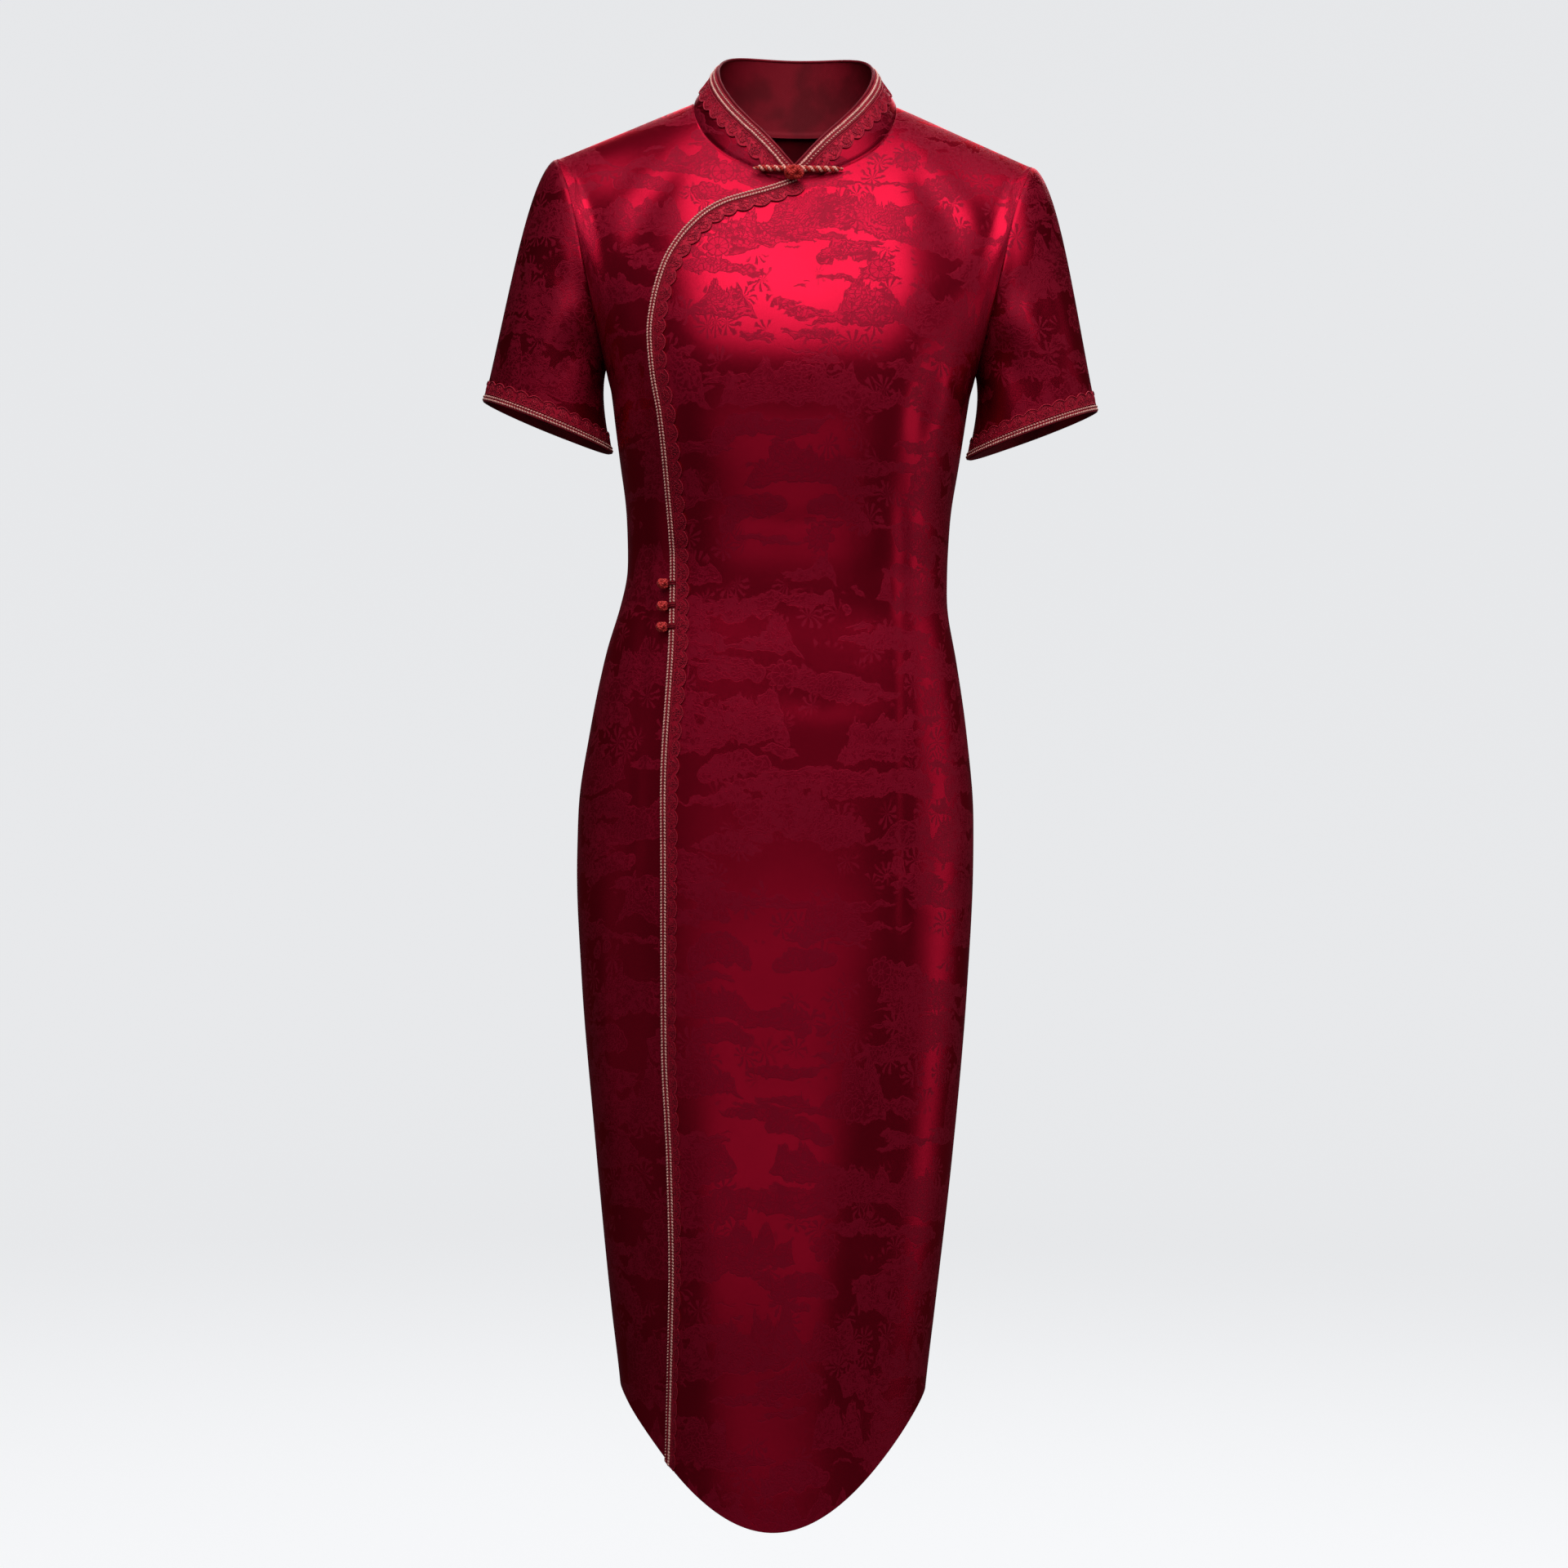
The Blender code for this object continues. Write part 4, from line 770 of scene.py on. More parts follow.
class Finish:
    """A node material with its Principled shader and shorthand for its textures."""

    def __init__(self, name, roughness=0.6, metallic=0.0, sheen=0.0, colour=(0.3, 0.01, 0.03)):
        self.material = bpy.data.materials.new(name)
        self.material.use_nodes = True
        self.tree = self.material.node_tree
        self.shader = self.tree.nodes["Principled BSDF"]
        self.use(Base_Color=colour, Roughness=roughness, Metallic=metallic,
                 Specular_IOR_Level=0.16, Sheen_Weight=sheen, Sheen_Roughness=0.45,
                 Sheen_Tint=(1.0, 0.35, 0.45))

    def use(self, **inputs):
        """Feeds the shader's inputs by name."""
        for name, item in inputs.items():
            feed(self.tree, item, self.shader.inputs[name.replace("_", " ")])

    def split(self, socket):
        """The first two numbers of a vector."""
        outputs = node(self.tree, "SeparateXYZ", {0: socket})
        return Value(self.tree, outputs[0]), Value(self.tree, outputs[1])

    def cloth(self):
        """Lengths across and down the cloth."""
        return self.split(node(self.tree, "UVMap", {}, uv_map="cloth")["UV"])

    def place(self, across, down):
        return node(self.tree, "CombineXYZ", {0: across, 1: down})[0]

    def noise(self, across, down, scale, detail=2.0, roughness=0.5):
        return Value(self.tree, node(self.tree, "TexNoise", {
            "Vector": self.place(across, down), "Scale": scale, "Detail": detail,
            "Roughness": roughness}, noise_dimensions="2D")[0])

    def cells(self, across, down, scale, feature="F1", spread=1.0):
        """The texture of scattered points: the distance to the nearest point, or to the edge
        between two, and the nearest point's place."""
        outputs = node(self.tree, "TexVoronoi", {
            "Vector": self.place(across, down), "Scale": scale, "Randomness": spread},
            voronoi_dimensions="2D", feature=feature)
        return Value(self.tree, outputs[0]), outputs[2]

    def mix(self, share, low, high):
        """A colour between two others, each a colour or a socket."""
        return node(self.tree, "Mix", {0: share, 6: low, 7: high}, data_type="RGBA")[2]

    def bump(self, height, distance, strength):
        self.use(Normal=node(self.tree, "Bump", {
            "Strength": strength, "Distance": distance, "Height": height})[0])


GROUND = (0.43, 0.0055, 0.027)      # warp-faced satin ground
FIGURE = (0.36, 0.0050, 0.025)      # weft figure
ENGRAVED = (0.23, 0.0050, 0.022)    # matt lines drawn in the figure
BAND = 0.068                        # height of a band of figures
GOLDEN = 0.6180                     # step that keeps one band from repeating the next
CLOUD_PITCH = 0.068
CLOUD_LEVEL = 0.048                 # height of the clouds' flat underside in their band
CLOUD_PUFFS = ((0.011, 0.006, 0.0075), (0.022, 0.012, 0.0105), (0.036, 0.011, 0.0100),
               (0.048, 0.006, 0.0068))       # across, up, radius
BLOOM_ACROSS = 0.131                # spacing of the blossoms
BLOOM_DOWN = BLOOM_ACROSS * 0.83


def landscape(finish, shift):
    """The woven figures: bands of ridges, mist, clouds, blossoms and pine sprays. Returns
    the place on the cloth, and how much of a point is figure and how much engraved line."""
    u, v = finish.cloth()
    u, v = u + shift[0], v + shift[1]
    wander = finish.noise(u, v, 21.0, 3.0)
    waver = finish.noise(u + 3.1, v + 1.7, 75.0, 3.0, 0.6)
    across = u + (wander - 0.5) * 0.018
    down = v + (waver - 0.5) * 0.012
    level = down / BAND + (finish.noise(u + 7.7, v, 5.2, 1.0) - 0.5) * 1.3
    band = level.math("FLOOR")
    height = (1.0 - level.math("FRACT")) * BAND
    hop = (band * GOLDEN).math("FRACT")

    # Ridges: a jagged skyline over a flat foot, in islands that taper at their ends.
    land = finish.noise(across + hop * 3.0, band * 0.31, 13.0, 2.0).within(0.36, 0.56)
    jag = (across * 44.0 + hop * 7.0).math("PINGPONG", 0.5)
    crest = finish.noise(across + hop * 5.0, band * 0.77, 34.0, 5.0, 0.66)
    skyline = (crest * 0.070 + jag * 0.028 - 0.006) * land
    foot = height - finish.noise(across, band * 0.2 + 5.0, 48.0, 3.0) * 0.014
    ridge = (skyline - height) & (foot * 0.8)

    # Mist: long slivers that float between the ridges.
    mist = (finish.noise(u * 0.24, down, 44.0, 3.0, 0.55) - 0.585) * 0.045

    # Clouds: rows of puffs.
    drift = across + hop * 0.9
    cell = (drift / CLOUD_PITCH).math("FRACT") * CLOUD_PITCH
    aloft = height - CLOUD_LEVEL
    puffs = None
    for place, up, radius in CLOUD_PUFFS:
        dx, dy = cell - place, aloft - up
        puff = radius - (dx * dx + dy * dy).math("SQRT")
        puffs = puff if puffs is None else puffs | puff
    there = finish.noise((drift / CLOUD_PITCH).math("FLOOR") * 0.37, band * 0.53, 9.0, 0.0)
    cloud = (puffs & aloft) - ((0.54 - there) | 0.0) * 0.2

    # Blossoms: many narrow petals, here and there.
    bx = (((u + v * 0.21) / BLOOM_ACROSS).math("FRACT") - 0.5) * BLOOM_ACROSS
    by = (((v - u * 0.13) / BLOOM_DOWN).math("FRACT") - 0.5) * BLOOM_DOWN
    far = (bx * bx + by * by).math("SQRT")
    angle = by.math("ARCTAN2", bx) + (wander - 0.5) * 2.0
    petal = (angle * 4.5).math("COSINE").math("ABSOLUTE")
    bloom = (petal * 0.0045 + 0.0075) - far
    veins = (1.0 - petal.within(0.10, 0.35)) | (far * 900.0).math("SINE").within(0.75, 0.98)

    # Pine sprays: fans of needles.
    from_spray, spray_at = finish.cells(across, down, 42.0)
    spray_across, spray_down = finish.split(spray_at)
    sx, sy = across - spray_across, down - spray_down
    fan = (sy.math("ARCTAN2", sx) * 9.0).math("SINE").within(0.0, 0.6)
    choose = finish.noise(u + 9.3, v + 4.4, 13.0, 2.0).within(0.50, 0.56)
    needles = fan * ((0.46 - from_spray) * 0.022).within(0.0, 0.0012) * choose

    shape = ridge | cloud | bloom | mist
    inside = shape.within(-0.0002, 0.0003) | needles

    # Engraving: lines that follow the shapes, leaves, strokes, foliage and an outline.
    grain = finish.noise(across, down * 1.8, 95.0, 3.0, 0.6)
    contour = (shape * 330.0 + grain * 2.6).wave().within(0.25, 0.80)
    leaf_edge = finish.cells(across, down * 1.5, 230.0, "DISTANCE_TO_EDGE")[0]
    leaves = 1.0 - leaf_edge.within(0.05, 0.16)
    leafy = finish.noise(u + 2.2, v + 6.1, 27.0, 2.0).within(0.46, 0.52)
    strokes = ((across * 0.5 + down) * 300.0 + wander * 12.0).wave().within(0.45, 0.9)
    struck = finish.noise(u + 8.2, v + 0.6, 33.0, 1.0).within(0.50, 0.55)
    drawn = (contour * (1.0 - leafy) + leaves * leafy) | (strokes * struck)
    is_bloom = bloom.within(0.0, 0.0006)
    drawn = drawn * (1.0 - is_bloom) + veins * is_bloom
    outline = 1.0 - shape.math("ABSOLUTE").within(0.0003, 0.0008)
    clump = finish.noise(across, down * 1.6, 115.0, 4.0, 0.68).within(0.51, 0.55)
    grove = finish.noise(u + 5.5, v + 2.5, 22.0, 2.0).within(0.42, 0.52)
    drawn = drawn | (clump * grove * (1.0 - is_bloom))
    return u, v, inside, (drawn * inside) | outline | needles


def brocade(name, shift, level=1.0):
    """Jacquard satin: a glossy ground with duller figures and matt engraved lines."""
    finish = Finish(name)
    u, v, inside, lines = landscape(finish, shift)
    tone = finish.noise(u, v, 9.0, 2.0).within(0.25, 0.75)
    # level dims the whole brocade; on the right sleeve part of that dimming is painted shade.
    ground, figure = (finish.mix(tone, shade(colour, dim * level), shade(colour, level))
                      for colour, dim in ((GROUND, 0.86), (FIGURE, 0.88)))
    share = lines * 0.55
    finish.use(Base_Color=finish.mix(share, finish.mix(inside, ground, figure), ENGRAVED),
               Metallic=(0.86 - inside * 0.12) * (1.0 - share),
               Roughness=inside * 0.06 + lines * 0.12 + 0.28,
               Specular_IOR_Level=0.12, Specular_Tint=(1.0, 0.35, 0.40))
    floats = (u * 1900.0 + v * 380.0).wave() * (v * 1500.0 - u * 300.0).wave()
    finish.bump(inside * 0.35 - lines * 0.30 + floats * 0.10, 0.00016, 0.75)
    return finish.material


def reverse_side(name, colour):
    """The duller wrong side of the brocade."""
    finish = Finish(name, roughness=0.66)
    u, v = finish.cloth()
    blotch = finish.noise(u, v, 26.0, 3.0).within(0.35, 0.65)
    finish.use(Base_Color=finish.mix(blotch, colour, shade(colour, 0.6)))
    finish.bump((u * 1100.0).wave() * (v * 900.0).wave() + blotch, 0.00010, 0.6)
    return finish.material


def plain_satin(name, colour, roughness, metallic):
    """Satin with fine floats and a little unevenness."""
    finish = Finish(name, metallic=metallic, sheen=0.1)
    u, v = finish.cloth()
    tone = finish.noise(u, v, 60.0, 3.0)
    finish.use(Base_Color=finish.mix(tone.within(0.3, 0.7), shade(colour, 0.72), colour),
               Roughness=tone * 0.16 + (roughness - 0.08))
    finish.bump((u * 1500.0 + v * 500.0).wave() * 0.3 + tone, 0.00012, 0.6)
    return finish.material


def net(name, colour, shaded_satin):
    """Lace ground: fine mesh whose openings are painted a deep red, standing for the satin seen
    through them with painted shade on it.
    """
    finish = Finish(name, roughness=0.50, metallic=0.40, sheen=0.08)
    u, v = finish.cloth()
    from_edge = finish.cells(u, v, 620.0, "DISTANCE_TO_EDGE", spread=0.45)[0]
    filled = (1.0 - from_edge.within(0.10, 0.26)) | finish.noise(u, v, 230.0).within(0.40, 0.58)
    # The openings' colour is painted shade: the satin's red, dimmed as if always in shade.
    finish.use(Base_Color=finish.mix(filled, shaded_satin, colour))
    finish.bump(filled, 0.0003, 0.9)
    return finish.material


def spun(name, colour, other, pitch, roughness, metallic=0.0, sheen=0.2):
    """Thread or cord twisted from fine strands, seen as slanting lines."""
    finish = Finish(name, roughness, metallic, sheen)
    u, v = finish.cloth()
    strands = (u * 100.0 + v / pitch).wave()
    fleck = finish.noise(u, v, 900.0).within(0.35, 0.7)
    finish.use(Base_Color=finish.mix(strands.within(-0.5, 0.6) * 0.75 + fleck * 0.2, other, colour))
    finish.bump(strands, 0.00018, 0.8)
    return finish.material


MATERIALS = {
    "front": brocade("brocade_front", (0.30, 0.52)),
    "side": brocade("brocade_side_front", (0.62, 0.31)),
    "back": brocade("brocade_back", (1.25, 0.47)),
    # The sleeves and the collar are the same brocade, dimmed. The right sleeve is dimmed further
    # than the left: that extra dimming is painted shade for the weaker light on that side.
    "sleeve_right": brocade("brocade_sleeve_right", (2.10, 0.90), 0.62),
    "sleeve_left": brocade("brocade_sleeve_left", (2.84, 0.13), 0.74),
    "collar": brocade("collar_satin", (3.43, 0.26), 0.62),
    "inside": reverse_side("brocade_reverse", (0.24, 0.003, 0.014)),
    "piping": plain_satin("piping_satin", (0.22, 0.003, 0.013), 0.42, 0.35),
    "ribbon": plain_satin("braid_ribbon", (0.30, 0.004, 0.018), 0.6, 0.0),
    "stitch": spun("chain_stitch_thread", (1.0, 0.60, 0.54), (1.0, 0.44, 0.36), 0.0011, 0.26,
                   0.25, 0.0),
    # The net's second colour is the painted shade in its openings.
    "net": net("lace_net", (0.40, 0.005, 0.026), (0.085, 0.001, 0.010)),
    "lace": spun("lace_thread", (0.58, 0.022, 0.054), (0.38, 0.009, 0.030), 0.0012, 0.42,
                 0.3, 0.05),
    "cord": spun("frog_cord_silk", (0.66, 0.045, 0.030), (0.36, 0.008, 0.010), 0.0013, 0.42),
    "cream": spun("frog_wrap_silk", (1.0, 0.62, 0.50), (0.72, 0.18, 0.13), 0.0013, 0.45),
    "button": spun("button_silk", (0.82, 0.075, 0.065), (0.42, 0.010, 0.014), 0.0013, 0.36),
}


# ================================================================ cloth pieces
def half_columns(arm, shoulder, neck):
    """Places across a panel's right half at its top edge, with its corners among them."""
    side = np.array(SIDE_SHARES)
    arm = np.concatenate([side, np.linspace(side[-1], TIP_AT, arm)[1:-1]])
    shoulder = np.linspace(TIP_AT, NECK_AT, shoulder)[:-1]
    turns = np.linspace(0, math.pi / 2, neck)
    return np.concatenate([arm, shoulder, NECK_AT + (0.5 - NECK_AT) * (1 - np.cos(turns))])


HALF = half_columns(44, 16, 44)


def edge_distance(points, axis, last):
    """Distance of each point from the grid's first or last edge along an axis."""
    points = np.swapaxes(points, 0, axis)
    if last:
        points = points[::-1]
    length = running_length(points)
    return np.swapaxes(length[::-1] if last else length, 0, axis)


def unfolded(points, normals):
    """Points pushed in from a top edge where the grid would fold over it."""
    cells = np.cross(points[1:2, 1:] - points[:1, :-1], points[1:2, :-1] - points[:1, 1:])
    lean = dot(unit(cells), unit(normals[1:2, 1:] + normals[:1, :-1]))[0, :, 0]
    folded = np.flatnonzero(lean * np.sign(np.median(lean)) < FOLD_LEAN)
    if not len(folded):
        return points
    columns = np.arange(points.shape[1])
    away = np.abs(columns[:, None] - folded - 0.5).min(axis=1)
    share = ease((PUSH_COLUMNS - away) / PUSH_FADE)
    fine = np.linspace(0, columns[-1], LINE_FINE * columns[-1] + 1)
    line, facing = (np.stack([np.interp(fine, columns, grid[0, :, k]) for k in range(3)], axis=1)
                    for grid in (points, normals))
    inward = unit(np.cross(facing, np.gradient(line, axis=0)))
    inward = inward * np.sign(np.median(dot(points[PUSH_ROWS] - points[0], inward[::LINE_FINE])))
    points = points.copy()
    for row in range(1, PUSH_ROWS):
        gap = points[row][:, None] - line
        near = np.argmin(np.linalg.norm(gap, axis=-1), axis=1)
        inside = dot(gap[columns, near], inward[near])[:, 0]
        push = np.clip(PUSH * row - inside, 0, PUSH * PUSH_ROWS * 2) * share
        points[row] += inward[near] * push[:, None]
    return points


def rolled(points, normals, places, edges):
    """Points turned in beside sewn edges, each an axis and whether it is the last edge, with
    a narrow seam allowance behind each edge."""
    for axis, last in edges:
        gap = edge_distance(points, axis, last)
        away = unit(np.gradient(points, axis=axis)) * (-1 if last else 1)
        depth = ROLL * np.exp(-(gap / ROLL_REACH) ** 2)
        points = points - normals * depth[..., None]
        normals = unit(normals - away * (2 * gap / ROLL_REACH ** 2 * depth)[..., None])
        end = [slice(None)] * 2
        end[axis] = slice(-1, None) if last else slice(0, 1)
        end = tuple(end)
        behind = points[end] - normals[end] * SEAM_DEEP - away[end] * SEAM_PAST
        points, normals, places = (
            np.concatenate([old, new] if last else [new, old], axis=axis)
            for old, new in ((points, behind), (normals, normals[end]), (places, places[end])))
    return points, normals, places


def declare_sheet(outer, round_columns=False):
    """Works out the diagonals of a shell's cells, closing a round shell; nothing is kept."""
    grid = np.concatenate([outer, outer[:, :1]], axis=1) if round_columns else outer
    diagonals = np.cross(grid[1:, 1:] - grid[:-1, :-1], grid[1:, :-1] - grid[:-1, 1:])


def cloth_piece(name, key, replaced, cut, seams, hem, round_columns=False):
    """Shell of brocade, thicker where its hem is turned up."""
    outer, normals, places = cut
    if not round_columns:
        outer = unfolded(outer, normals)
    outer, normals, places = rolled(outer, normals, places, seams)
    thick = CLOTH + HEM_THICK * ease((hem - edge_distance(outer, 0, True)) / HEM_EASE)
    build = shell(outer, outer - normals * thick[..., None], places, round_columns, normals)
    made = build.piece(name, key + " inside", [replaced], "satin", CLOTH_SHARP)
    declare_sheet(outer, round_columns)


def chest_steps():
    """Rows of the front pieces as steps over the chest and as lengths along the opening."""
    fine = np.linspace(0, PATH_LENGTH[-1], 4000)
    down = placket_place(fine)[1]
    bust = fine[np.argmax(down >= 1)]
    skirt = np.interp(1 + SKIRT_STEPS, down[fine >= bust], fine[fine >= bust])
    return np.concatenate([CHEST_STEPS * bust, skirt])


LENGTHS = chest_steps()
CHEST_SHARE = np.concatenate([CHEST_STEPS, np.ones(len(SKIRT_STEPS))])
SKIRT_SHARE = np.concatenate([0 * CHEST_STEPS, SKIRT_STEPS])


def front_places(low_shares, side_across):
    """Places on the front between the opening's edge, share 0, and a side seam, share 1."""
    edge_across, edge_down = placket_place(LENGTHS)
    top_shares = 2 * (0.5 - HALF[::-1])
    edge = edge_across[:, None]
    if side_across > 0.5:
        turning = ease(SKIRT_SHARE / EVEN_STEP)[:, None]
        beside = (0.5 - HALF[::-1]) / (0.5 - NECK_AT)
        home = neck_top(0.5 + (side_across - 0.5) * top_shares, 1)
        high = 0.5 + (side_across - 0.5) * top_shares
        high = high + (edge - 0.5) * (1 - ease(beside / 0.85))
    else:
        turning = ease(CHEST_SHARE / FAN_STEP)[:, None]
        high = edge + (side_across - edge) * top_shares
    across = high + (edge + (side_across - edge) * low_shares - high) * turning
    shares = (across - edge) / (side_across - edge)
    top = home[None] if side_across > 0.5 else neck_top(across, 1)
    edge_step = (edge_down[:, None] - top[:, :1]) / (1 - top[:, :1])
    step = edge_step + (CHEST_SHARE[:, None] - edge_step) * ease(shares)
    down = np.where((edge_down < 1)[:, None], top + (1 - top) * np.clip(step, 0, 1),
                    np.maximum(edge_down, 1)[:, None])
    return across, down, shares


def low_shares():
    even = np.linspace(0, 1 - SIDE_SHARES[-1], len(HALF) - len(SIDE_SHARES) + 1)
    return np.concatenate([even, 1 - np.array(SIDE_SHARES[-2::-1])])


def front_panel():
    across, down, _ = front_places(low_shares(), 1 - SEAM_SHARE)
    cloth_piece("front_panel_brocade", "front", "front_panel", FRONT.cut(across, down),
                [(1, True), (0, False)], SKIRT_HEM)


def side_front_panel():
    across, down, shares = front_places(low_shares(), SEAM_SHARE)
    under_across, under_down = opening_line(LENGTHS, UNDERLAP)
    begin = UNDERLAP_EASE * np.clip(CHEST_SHARE / FAN_STEP, 0.3, 1)[:, None]
    sunk = UNDERLAP_DEPTH * ease(1 - shares / begin)
    across = np.concatenate([under_across[:, None], across], axis=1)
    down = np.concatenate([under_down[:, None], down], axis=1)
    sunk = np.concatenate([np.full_like(sunk[:, :1], UNDERLAP_DEPTH), sunk], axis=1)
    points, normals, places = FRONT.cut(across, down)
    cut = (points - normals * sunk[..., None], normals, places)
    cloth_piece("side_front_brocade", "side", "side_front_panel", [x[:, ::-1] for x in cut],
                [(1, False), (0, False)], SKIRT_HEM)


def back_panel():
    half = half_columns(44, 16, 26)
    half[0] = SEAM_SHARE
    across = np.concatenate([half, 1 - half[-2::-1]])
    steps = np.concatenate([CHEST_STEPS[::2], 1 + SKIRT_STEPS])
    across, share = np.meshgrid(across, steps)
    top = neck_top(across, -1)
    down = np.where(share < 1, top + (1 - top) * share, share)
    cloth_piece("back_panel_brocade", "back", "back_panel",
                [x[:, ::-1] for x in BACK.cut(across, down)],
                [(1, False), (1, True), (0, False)], SKIRT_HEM)


def sleeve_sheet():
    turns = np.linspace(-math.pi, math.pi, 193)
    rows = np.linspace(0, 1, 105)
    turn, along = np.meshgrid(turns, rows)
    cut = sleeve_cut(turn, along)
    middle = cut.mean(axis=1, keepdims=True)
    places = stack(turn * SLEEVE_ROUND, along * SLEEVE_LONG)
    fade = ease(along / 0.10) * (1 - 0.55 * ease((along - 0.7) / 0.3))
    made = Sheet(cut, turns, rows, middle, SLEEVE_CREASES, places, fade, origin=(0, 96))
    # The pattern lies square to the sleeve's length.
    heading = unit(middle[-1, 0] - middle[0, 0])
    up = unit(np.cross(heading, [0.0, 1.0, 0.0]))
    out = made.grid[..., :3] - middle[0, 0]
    angle = np.unwrap(np.arctan2(out @ np.cross(heading, up), out @ up), axis=1)
    made.grid[..., 6] = angle * SLEEVE_ROUND
    made.grid[..., 7] = out @ heading
    return made


SLEEVE_SHEET = sleeve_sheet()


def sleeve(side, flip):
    turns = np.linspace(-math.pi, math.pi, 161)[:-1]
    rows = np.concatenate([[0, 0.004, 0.010, 0.018], np.linspace(0.03, 1, 92)])
    turn, along = np.meshgrid(turns, rows)
    outer, normals, places = SLEEVE_SHEET.cut(turn, along)
    cut = mirrored(outer, flip), mirrored(normals, flip), places
    if not flip:
        cut = [x[:, ::-1] for x in cut]
    cloth_piece(f"sleeve_{side}_brocade", f"sleeve_{side}", f"sleeve_{side}", cut,
                [(0, False)], SLEEVE_HEM, round_columns=True)


# ================================================================ collar
def collar_cut(turn, up):
    c, s = np.cos(turn), np.sin(turn)
    depth = COLLAR_TOP_MIDDLE - COLLAR_TOP_REACH * s - COLLAR_TOP_FORWARD * s * s
    height = COLLAR_TOP_SIDE - COLLAR_TOP_SLOPE * s - COLLAR_TOP_SAG * s * s
    top = stack(-COLLAR_TOP_HALF_WIDTH * c, depth, height)
    base = neckline(turn) + np.array([0, 0, COLLAR_SEAM_GAP])
    return base + (top - base) * up[..., None]


def collar_height(turn):
    from_middle = np.abs((turn - math.pi / 2 + math.pi) % TURN - math.pi)
    return COLLAR_END.at("share", from_middle)


def collar_sheet():
    turns = math.pi / 2 + np.linspace(0, TURN, 241)
    rows = np.linspace(0, 1, 33)
    turn, up = np.meshgrid(turns, rows)
    cut = collar_cut(turn, up)
    bowed = 0.0012 * np.sin(math.pi * up)
    cut = cut + unit(cut * np.array([1.0, 1.0, 0])) * bowed[..., None]
    inside = cut * np.array([0, 0, 1.0])
    return Sheet(cut, turns, rows, inside, origin=(0, 120))


COLLAR_SHEET = collar_sheet()
COLLAR_FOOT = 0.0022                # how far down its sewn edge goes behind the panels
COLLAR_BRAID_LOWEST = 0.03
COLLAR_TURN_LIMIT = 0.92


def collar_turns(count):
    """Turns from one front end round the back to the other, closer at the ends."""
    return math.pi / 2 + TURN * (0.5 + 0.5 * np.sin(np.linspace(-1, 1, count) * math.pi / 2))


def collar():
    rows = np.concatenate([[0, 0.01, 0.03], np.linspace(0.06, 1, 18)])
    turn, share = np.meshgrid(collar_turns(200), rows)
    made = rolled(*COLLAR_SHEET.cut(turn, share * collar_height(turn)), [(0, False)])
    outer, normals, places = (x[::-1, ::-1] for x in made)
    outer[-1, :, 2] -= COLLAR_FOOT
    build = shell(outer, outer - normals * CLOTH, places, normals=normals)
    made = build.piece("collar_band", "collar inside", ["collar"], "collar_satin", CLOTH_SHARP)
    declare_sheet(outer)


def collar_line(turns, drop):
    """Places on the collar a distance in from its top edge and rounded ends."""
    up = collar_height(turns)
    edge = COLLAR_SHEET.point(turns, up)
    column = COLLAR_SHEET.point(turns, 1.0) - COLLAR_SHEET.point(turns, 0.0)
    along = np.sum(unit(column) * unit(np.gradient(edge, axis=0)), axis=1)
    stretch = 1 / np.sqrt(1 - np.minimum(np.abs(along), COLLAR_TURN_LIMIT) ** 2)
    share = drop * stretch / np.linalg.norm(column, axis=1)
    return turns, np.maximum(up - share, COLLAR_BRAID_LOWEST)


# ================================================================ trims
BRAID_LIFT = 0.0003
RIBBON_THICK = 0.0007
STITCH = (0.00112, 0.00082, 0.00068)            # half length, half width and half height
CUFF_STITCH = (0.00105, 0.00072, 0.00060)
STITCH_PITCH, STITCH_SLANT = 0.00240, math.radians(24)
ROW_SPREAD = 0.0031                             # space between the two rows of stitches
NET_LIFT, NET_THICK = 0.00025, 0.0003
RIM_THREAD, FINE_THREAD = 0.00048, 0.00030
LACE_FULL = 0.0105                              # threads are thinner on lace narrower than this
BRAID_WIDTH, CUFF_BRAID_WIDTH, LACE_SPACE = 0.0055, 0.0050, 0.0004
COLLAR_BRAID_FROM, COLLAR_STITCH_FROM, COLLAR_BRAID_WIDTH = 0.0012, 0.0015, 0.0080
CUFF_STITCH_FROM, CUFF_STITCH_WIDTH = 0.0005, 0.0048
PLACKET_SCALLOPS, COLLAR_SCALLOPS, CUFF_SCALLOPS = 78, 32, 27
COLLAR_LACE, CUFF_LACE = (0.0120, 0.0035), (0.0110, 0.0030)    # width, and depth of its lobes
COLLAR_LACE_BEGIN = 0.020                       # length at each front end with no lace
PIPING_RADIUS = 0.00115
BUTTON_BELOWS = (0.3870, 0.4045, 0.4210)
LOOP_HALF_GAP = 0.0019
PLACKET_LACE = Table(
    "below width lobe",
    (0.070, 0.0120, 0.0035), (0.400, 0.0115, 0.0035), (0.600, 0.0085, 0.0028),
    (0.750, 0.0070, 0.0024), (0.950, 0.0050, 0.0018), (1.075, 0.0045, 0.0016))


